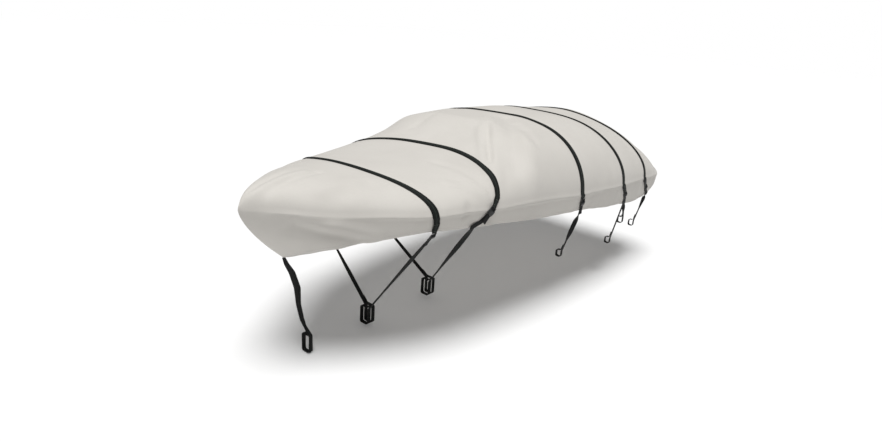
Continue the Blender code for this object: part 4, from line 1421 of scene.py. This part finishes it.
@dataclass
class TailWeb:
    """One tie-down tail: from its buckle over the hem and down to its loop."""

    seat: Seat
    wide: float = TAIL_WIDE
    lip_drop: float = 0.06
    seat_gap: float = 0.0008
    run: tuple = (0.08, 0.28, 0.52, 0.73)

    def build(self, name: str, node: str, foot: Foot, start: Place, side: float,
              laid_out: float = 0.0) -> bpy.types.Object:
        """Make the tail.

        Args:
            name: the piece's name.
            node: the solid that it stands for.
            foot: its way and its loop.
            start: the buckle's lower end.
            side: -1 to port, 1 to starboard.
            laid_out: how far out of the cloth it lies besides.

        Returns:
            The tail.
        """
        laid = [start]
        if foot.below:
            spots = [*foot.below, (foot.below[-1][0], side * (2 + self.lip_drop))]
            laid += [place.moved(0.0, laid_out)
                     for place in self.seat.laid(spots, [self.wide] * len(spots), side)]
        lip = laid[-1].middle
        loop = Loop(self.seat.drape.frame.place(foot.anchor), foot.half)
        ring = loop.places(side)
        middles = [lip.lerp(ring[0], share) for share in self.run] + ring + loop.lap(lip, side)
        turns = [*foot.twists] + [0.0] * (len(middles) - len(foot.twists))
        places = laid + air_places(middles, turns, side)
        count = len(places)
        route = Route(places, [self.wide] * count, [self.seat.thick] * count).eased(2)
        route.cleared(self.seat.cloth, self.seat_gap)
        return Webbing(name, Finish.TAIL, "narrow_webbing").along(route, node)


@dataclass
class FreeEnd:
    """The short loose end that stands out of a buckle, with its tip folded over."""

    length: float = 0.075
    wide: float = TAIL_WIDE
    thick: float = 0.002
    folded: float = 0.0055
    curl: float = 0.004
    out: float = 0.0045
    shares: tuple = (0.0, 0.2, 0.35, 0.55, 0.70, 0.83, 0.86, 1.0)

    def build(self, name: str, node: str, start: Place) -> bpy.types.Object:
        """Make the free end from the buckle's lower end, and return it."""
        places = []
        for share in self.shares:
            place = start.moved(share * self.length, self.out + self.curl * share * share)
            tilt = Matrix.Rotation(math.atan(2 * self.curl * share / self.length), 3,
                                   place.along.cross(place.out))
            places.append(place._replace(along=tilt @ place.along, out=tilt @ place.out))
        thicks = [self.thick] * (len(places) - 2) + [self.folded] * 2
        route = Route(places, [self.wide] * len(places), thicks).eased(1)
        return Webbing(name, Finish.TAIL, "narrow_webbing").along(route, node)


@dataclass
class BowStrap:
    """The crumpled strap from the front of the hem to its loop."""

    frame: RowFrame
    thick: float = 0.0028
    loop_wide: float = TAIL_WIDE
    crumple: float = 0.0035

    def build(self) -> bpy.types.Object:
        """Make the bow strap, and return it."""
        middles = [self.frame.place(row.place) for row in BOW_STRAP]
        loop = Loop(self.frame.place(BOW_LOOP_MIDDLE), TALL_LOOP)
        rest = loop.places(-1.0) + loop.lap(middles[-1], -1.0)
        turns = [row.turn for row in BOW_STRAP] + [0.0] * len(rest)
        widths = [row.width for row in BOW_STRAP] + [self.loop_wide] * len(rest)
        places = air_places(middles + rest, turns, -1.0)
        route = Route(places, widths, [self.thick] * len(places)).eased(4)
        web = Webbing("bow_strap_webbing", Finish.TAIL, "narrow_webbing", cells=12)
        return web.along(route, "bow_strap", self.crumple)


# ------------------------------------------------------------------ buckles

@dataclass
class Buckle:
    """A cam buckle: cheeks, base, end bars, a toothed cam with its thumb tab, and a pin."""

    top: Place
    end_gap: float = 0.0003
    web_thick: float = 0.002
    cheek: float = 0.0032
    base: float = 0.0016
    bar_radius: float = 0.0024
    bar_shares: tuple = (0.055, 0.945)
    bar_height: float = 0.0042
    pin_place: tuple = (0.0355, 0.0068)
    pin_radius: float = 0.0021
    cam_radius: float = 0.0046
    cam_squash: float = 0.93
    cam_play: float = 0.0006
    cam_sides: int = 24
    teeth: range = range(13, 22, 2)       # sides of the cam that stand out as teeth
    tooth: float = 0.0006
    ribs_start: tuple = (0.0455, 0.0129)  # first grip rib on the tab, along and out
    ribs_run: tuple = (0.0150, 0.0042)
    rib_radius: float = 0.0007
    rib_inset: float = 0.004
    tab_inset: float = 0.001
    grip_ribs: int = 5
    plate_ends: tuple = (0.008, 0.062)
    bar_sink: float = 0.0008
    head: tuple = (0.0004, 0.0008)        # how far a pin's head goes into its cheek and stands out
    gripped: tuple = ((0.0, 0.0), (0.0240, -0.0001), (0.0300, -0.0002), (0.0600, 0.0))
    gripped_start: tuple = (0.0052, 0.0013)
    gripped_thick: float = 0.0017
    softened: tuple = (0.0005, 0.0003)    # edges of the body and of the smaller parts
    bevel_angle: float = 35.0
    sharp: float = 40.0
    rib_curve: float = 1.6
    long = 0.070
    wide = 0.052
    cheek_profile = (
        (0.0000, 0.0005), (0.0015, 0.0000), (0.0685, 0.0000), (0.0700, 0.0012), (0.0698, 0.0058),
        (0.0620, 0.0066), (0.0560, 0.0100), (0.0470, 0.0124), (0.0380, 0.0129), (0.0290, 0.0122),
        (0.0215, 0.0090), (0.0150, 0.0064), (0.0040, 0.0056), (0.0003, 0.0046),
    )
    tab_profile = (
        (0.0320, 0.0105), (0.0350, 0.0128), (0.0420, 0.0132), (0.0500, 0.0128), (0.0570, 0.0112),
        (0.0625, 0.0088), (0.0640, 0.0074), (0.0618, 0.0064), (0.0550, 0.0082), (0.0470, 0.0094),
        (0.0400, 0.0088),
    )

    def __post_init__(self) -> None:
        """Find the buckle's own corner on the strap's inner face."""
        self.start = self.top.moved(self.end_gap, -self.web_thick / 2)

    def at(self, along: float, across: float, out: float) -> Vector:
        """Return a place given along the buckle, across it and out from the cloth."""
        return self.start.moved(along, out).middle + self.start.across * across

    def prism(self, bm: bmesh.types.BMesh, profile: Sequence[tuple], left: float, right: float) -> None:
        """Add a solid with that profile from left to right across the buckle."""
        ends = [[bm.verts.new(self.at(s, across, h)) for s, h in profile] for across in (left, right)]
        for k in range(len(profile)):
            after = (k + 1) % len(profile)
            bm.faces.new((ends[0][k], ends[0][after], ends[1][after], ends[1][k]))
        bm.faces.new(ends[0][::-1])
        bm.faces.new(ends[1])

    @staticmethod
    def disc(along: float, out: float, radius: float, sides: int = 16) -> list:
        """Return a round profile."""
        return [(along + radius * math.cos(2 * math.pi * k / sides),
                 out + radius * math.sin(2 * math.pi * k / sides)) for k in range(sides)]

    def finished(self, name: str, bm: bmesh.types.BMesh, finish: Finish, edge: float) -> bpy.types.Object:
        """Turn a mesh into a piece with softened edges."""
        bmesh.ops.recalc_face_normals(bm, faces=bm.faces)
        mesh = bpy.data.meshes.new(name)
        bm.to_mesh(mesh)
        bm.free()
        piece = new_piece(name, mesh, finish)
        soft = piece.modifiers.new("edges", "BEVEL")
        soft.width = edge
        soft.segments = 2
        soft.limit_method = "ANGLE"
        soft.angle_limit = math.radians(self.bevel_angle)
        settled(piece)
        piece.data.shade_smooth()
        piece.data.set_sharp_from_angle(angle=math.radians(self.sharp))
        return piece

    def body(self) -> bmesh.types.BMesh:
        """Return the cheeks, the base and the end bars."""
        bm = bmesh.new()
        half = self.wide / 2
        for side in (-1, 1):
            left, right = sorted((side * half, side * (half - self.cheek)))
            self.prism(bm, self.cheek_profile, left, right)
        inside = half - self.cheek
        near, far = self.plate_ends
        plate = ((near, 0.0), (far, 0.0), (far, self.base), (near, self.base))
        self.prism(bm, plate, -inside, inside)
        for share in self.bar_shares:
            bar = self.disc(share * self.long, self.bar_height - self.bar_sink, self.bar_radius)
            self.prism(bm, bar, -inside, inside)
        return bm

    def cam(self) -> bmesh.types.BMesh:
        """Return the cam with its teeth and its ribbed thumb tab."""
        bm = bmesh.new()
        inside = self.wide / 2 - self.cheek - self.cam_play
        along, out = self.pin_place
        barrel = []
        for k in range(self.cam_sides):
            angle = 2 * math.pi * k / self.cam_sides
            radius = self.cam_radius + (self.tooth if k in self.teeth else 0.0)
            rise = radius * math.sin(angle) * self.cam_squash
            barrel.append((along + radius * math.cos(angle), out + rise))
        self.prism(bm, barrel, -inside, inside)
        self.prism(bm, self.tab_profile, -inside + self.tab_inset, inside - self.tab_inset)
        for k in range(self.grip_ribs):
            share = k / (self.grip_ribs - 1)
            s = self.ribs_start[0] + self.ribs_run[0] * share
            h = self.ribs_start[1] - self.ribs_run[1] * share ** self.rib_curve
            rib = self.disc(s, h, self.rib_radius, 6)
            self.prism(bm, rib, -inside + self.rib_inset, inside - self.rib_inset)
        return bm

    def pin(self) -> bmesh.types.BMesh:
        """Return the pin's heads on both cheeks."""
        bm = bmesh.new()
        half = self.wide / 2
        for side in (-1, 1):
            left, right = sorted((side * (half - self.head[0]), side * (half + self.head[1])))
            self.prism(bm, self.disc(*self.pin_place, self.pin_radius), left, right)
        return bm

    def build(self, name: str) -> Place:
        """Make the buckle, and return the place of its lower end."""
        large, small = self.softened
        body = self.finished(f"{name}_body", self.body(), Finish.BUCKLE, large)
        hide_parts(name)
        self.finished(f"{name}_cam", self.cam(), Finish.BUCKLE, small)
        self.finished(f"{name}_pin", self.pin(), Finish.PIN, small)
        low = self.start.moved(self.gripped_start[0], self.base + self.gripped_start[1])
        places = [low.moved(*step) for step in self.gripped]
        count = len(places)
        route = Route(places, [TAIL_WIDE] * count, [self.gripped_thick] * count).eased(1)
        Webbing(f"{name}_gripped_webbing", Finish.TAIL, "narrow_webbing").along(route)
        return self.top.moved(self.long + 2 * self.end_gap)


# ------------------------------------------------------------------ studio

@dataclass
class Studio:
    """The camera at the photograph's viewing angle, plain soft light and a pale floor."""

    eye: tuple = (-4.261, -3.267, 0.9329)
    forward: tuple = (0.72837, 0.59867, -0.33327)
    right: tuple = (0.65144, -0.75583, 0.06601)
    up: tuple = (0.21237, 0.26519, 0.94052)
    lens: float = 25.335
    sensor: float = 36.0
    floor_colour: tuple = (0.69, 0.69, 0.69)
    floor_rough: float = 0.9
    floor_glow: float = 0.14      # light of its own, so that the shadow stays soft
    sky: float = 0.13             # how strongly the surround lights the cover
    sun: float = 3.78
    sun_spread: float = 30.0
    sun_from: tuple = (-0.20, -0.14, 1.0)
    floor_half: float = 40.0
    floor_drop: float = 0.004

    def camera(self) -> None:
        """Place the camera."""
        data = bpy.data.cameras.new("camera")
        data.lens = self.lens
        data.sensor_width = self.sensor
        data.sensor_fit = "HORIZONTAL"
        camera = linked("camera", data)
        back = -Vector(self.forward)
        columns = (Vector(self.right).normalized(), Vector(self.up).normalized(), back.normalized())
        turn = Matrix(columns).transposed()
        camera.matrix_world = Matrix.Translation(self.eye) @ turn.to_4x4()
        bpy.context.scene.camera = camera

    def light(self) -> None:
        """Shine one broad soft sun from above, in an even surround that the camera sees as white."""
        world = bpy.data.worlds.new("surround")
        world.use_nodes = True
        tree = world.node_tree
        ground = tree.nodes["Background"]
        seen = tree.nodes.new("ShaderNodeLightPath")
        level = tree.nodes.new("ShaderNodeMapRange")
        level.inputs["To Min"].default_value = self.sky
        level.inputs["To Max"].default_value = 1.0
        ground.inputs["Color"].default_value = (1.0, 1.0, 1.0, 1.0)
        tree.links.new(seen.outputs["Is Camera Ray"], level.inputs["Value"])
        tree.links.new(level.outputs[0], ground.inputs["Strength"])
        bpy.context.scene.world = world
        data = bpy.data.lights.new("overhead", "SUN")
        data.energy = self.sun
        data.angle = math.radians(self.sun_spread)
        linked("overhead", data).rotation_euler = Vector(self.sun_from).to_track_quat("Z", "Y").to_euler()

    def floor(self, lowest: float) -> None:
        """Lay the pale floor just under the lowest place of the part."""
        far, height = self.floor_half, lowest - self.floor_drop
        rim = [(-far, -far, height), (far, -far, height), (far, far, height), (-far, far, height)]
        mesh = mesh_of("floor", rim, [(0, 1, 2, 3)])
        shade = Shade("pale_floor")
        shade.fixed(Base_Color=(*self.floor_colour, 1.0), Roughness=self.floor_rough,
                    Emission_Color=(1.0, 1.0, 1.0, 1.0), Emission_Strength=self.floor_glow)
        mesh.materials.append(shade.material)
        linked("floor", mesh)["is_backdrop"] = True

    def build(self, lowest: float) -> None:
        """Set up the camera, the light and the floor under the part's lowest place."""
        bpy.context.scene.view_settings.view_transform = "Standard"
        self.camera()
        self.light()
        self.floor(lowest)


# ------------------------------------------------------------------ the whole cover

class Side(Enum):
    """The two sides of the boat, with the sign of y."""

    PORT = ("port", -1.0)
    STARBOARD = ("starboard", 1.0)


@dataclass
class Rigging:
    """All straps, buckles, tails and free ends."""

    seat: Seat
    long_end_out: float = 0.0045
    bar_stitches: Stitches = Stitches(0.0031, 0.0026, 0.00042, "bar_stitches")

    def webbing_sheet(self, piece: bpy.types.Object) -> None:
        """Log how long a webbing is."""
        LOG.info("%s: %.2f m of webbing", piece.name, piece["length"])

    def build(self) -> None:
        """Make every strap with its buckles, tails and free ends."""
        bars = []
        for strap in CROSS_STRAPS:
            piece, ends, lines = StrapWeb(strap, self.seat).build()
            self.webbing_sheet(piece)
            bars += lines
            for side, foot, end in zip(Side, (strap.port, strap.starboard), ends):
                word, sign = side.value
                key = f"{strap.number}_{word}"
                lower = Buckle(end).build(f"buckle_{key}")
                self.tail(f"tail_{key}", foot, lower, sign)
                if key == LONG_END_KEY:
                    out = self.long_end_out
                    self.tail(f"tail_{key}_long", LONG_END, lower.moved(0.0, out), sign, out)
                else:
                    self.free_end(f"free_end_{key}", lower)
        self.bar_stitches.along("strap_bar_stitches", bars, Finish.BAR_THREAD, "wide_webbing")
        self.webbing_sheet(BowStrap(self.seat.drape.frame).build())

    def tail(self, node: str, foot: Foot, lower: Place, sign: float, laid_out: float = 0.0) -> None:
        """Make one tail, or a long free end that is laid over a tail.

        Args:
            node: the solid that it stands for.
            foot: its way and its loop.
            lower: the buckle's lower end.
            sign: -1 to port, 1 to starboard.
            laid_out: how far out of the cloth it lies besides.
        """
        tails = TailWeb(self.seat)
        piece = tails.build(f"{node}_webbing", node, foot, lower, sign, laid_out)
        self.webbing_sheet(piece)

    def free_end(self, node: str, lower: Place) -> None:
        """Make one short free end."""
        end = FreeEnd()
        piece = end.build(f"{node}_webbing", node, lower)


def corners(box: tuple) -> list:
    """Return a box's two corners as plain lists."""
    return [list(corner) for corner in box]


def main() -> None:
    """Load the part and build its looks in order."""
    logging.basicConfig(level=logging.INFO, format="%(name)s: %(message)s")
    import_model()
    solid_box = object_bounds()
    Studio().build(solid_box[0].z)
    LOG.info("camera, light and floor are set")
    drape = Drape(RowFrame())
    cloth = CoverCloth(drape).build()
    LOG.info("cover cloth and hem are made")
    Rigging(Seat(drape, cloth)).build()
    LOG.info("straps, buckles and tails are made")


if __name__ == "__main__":
    main()
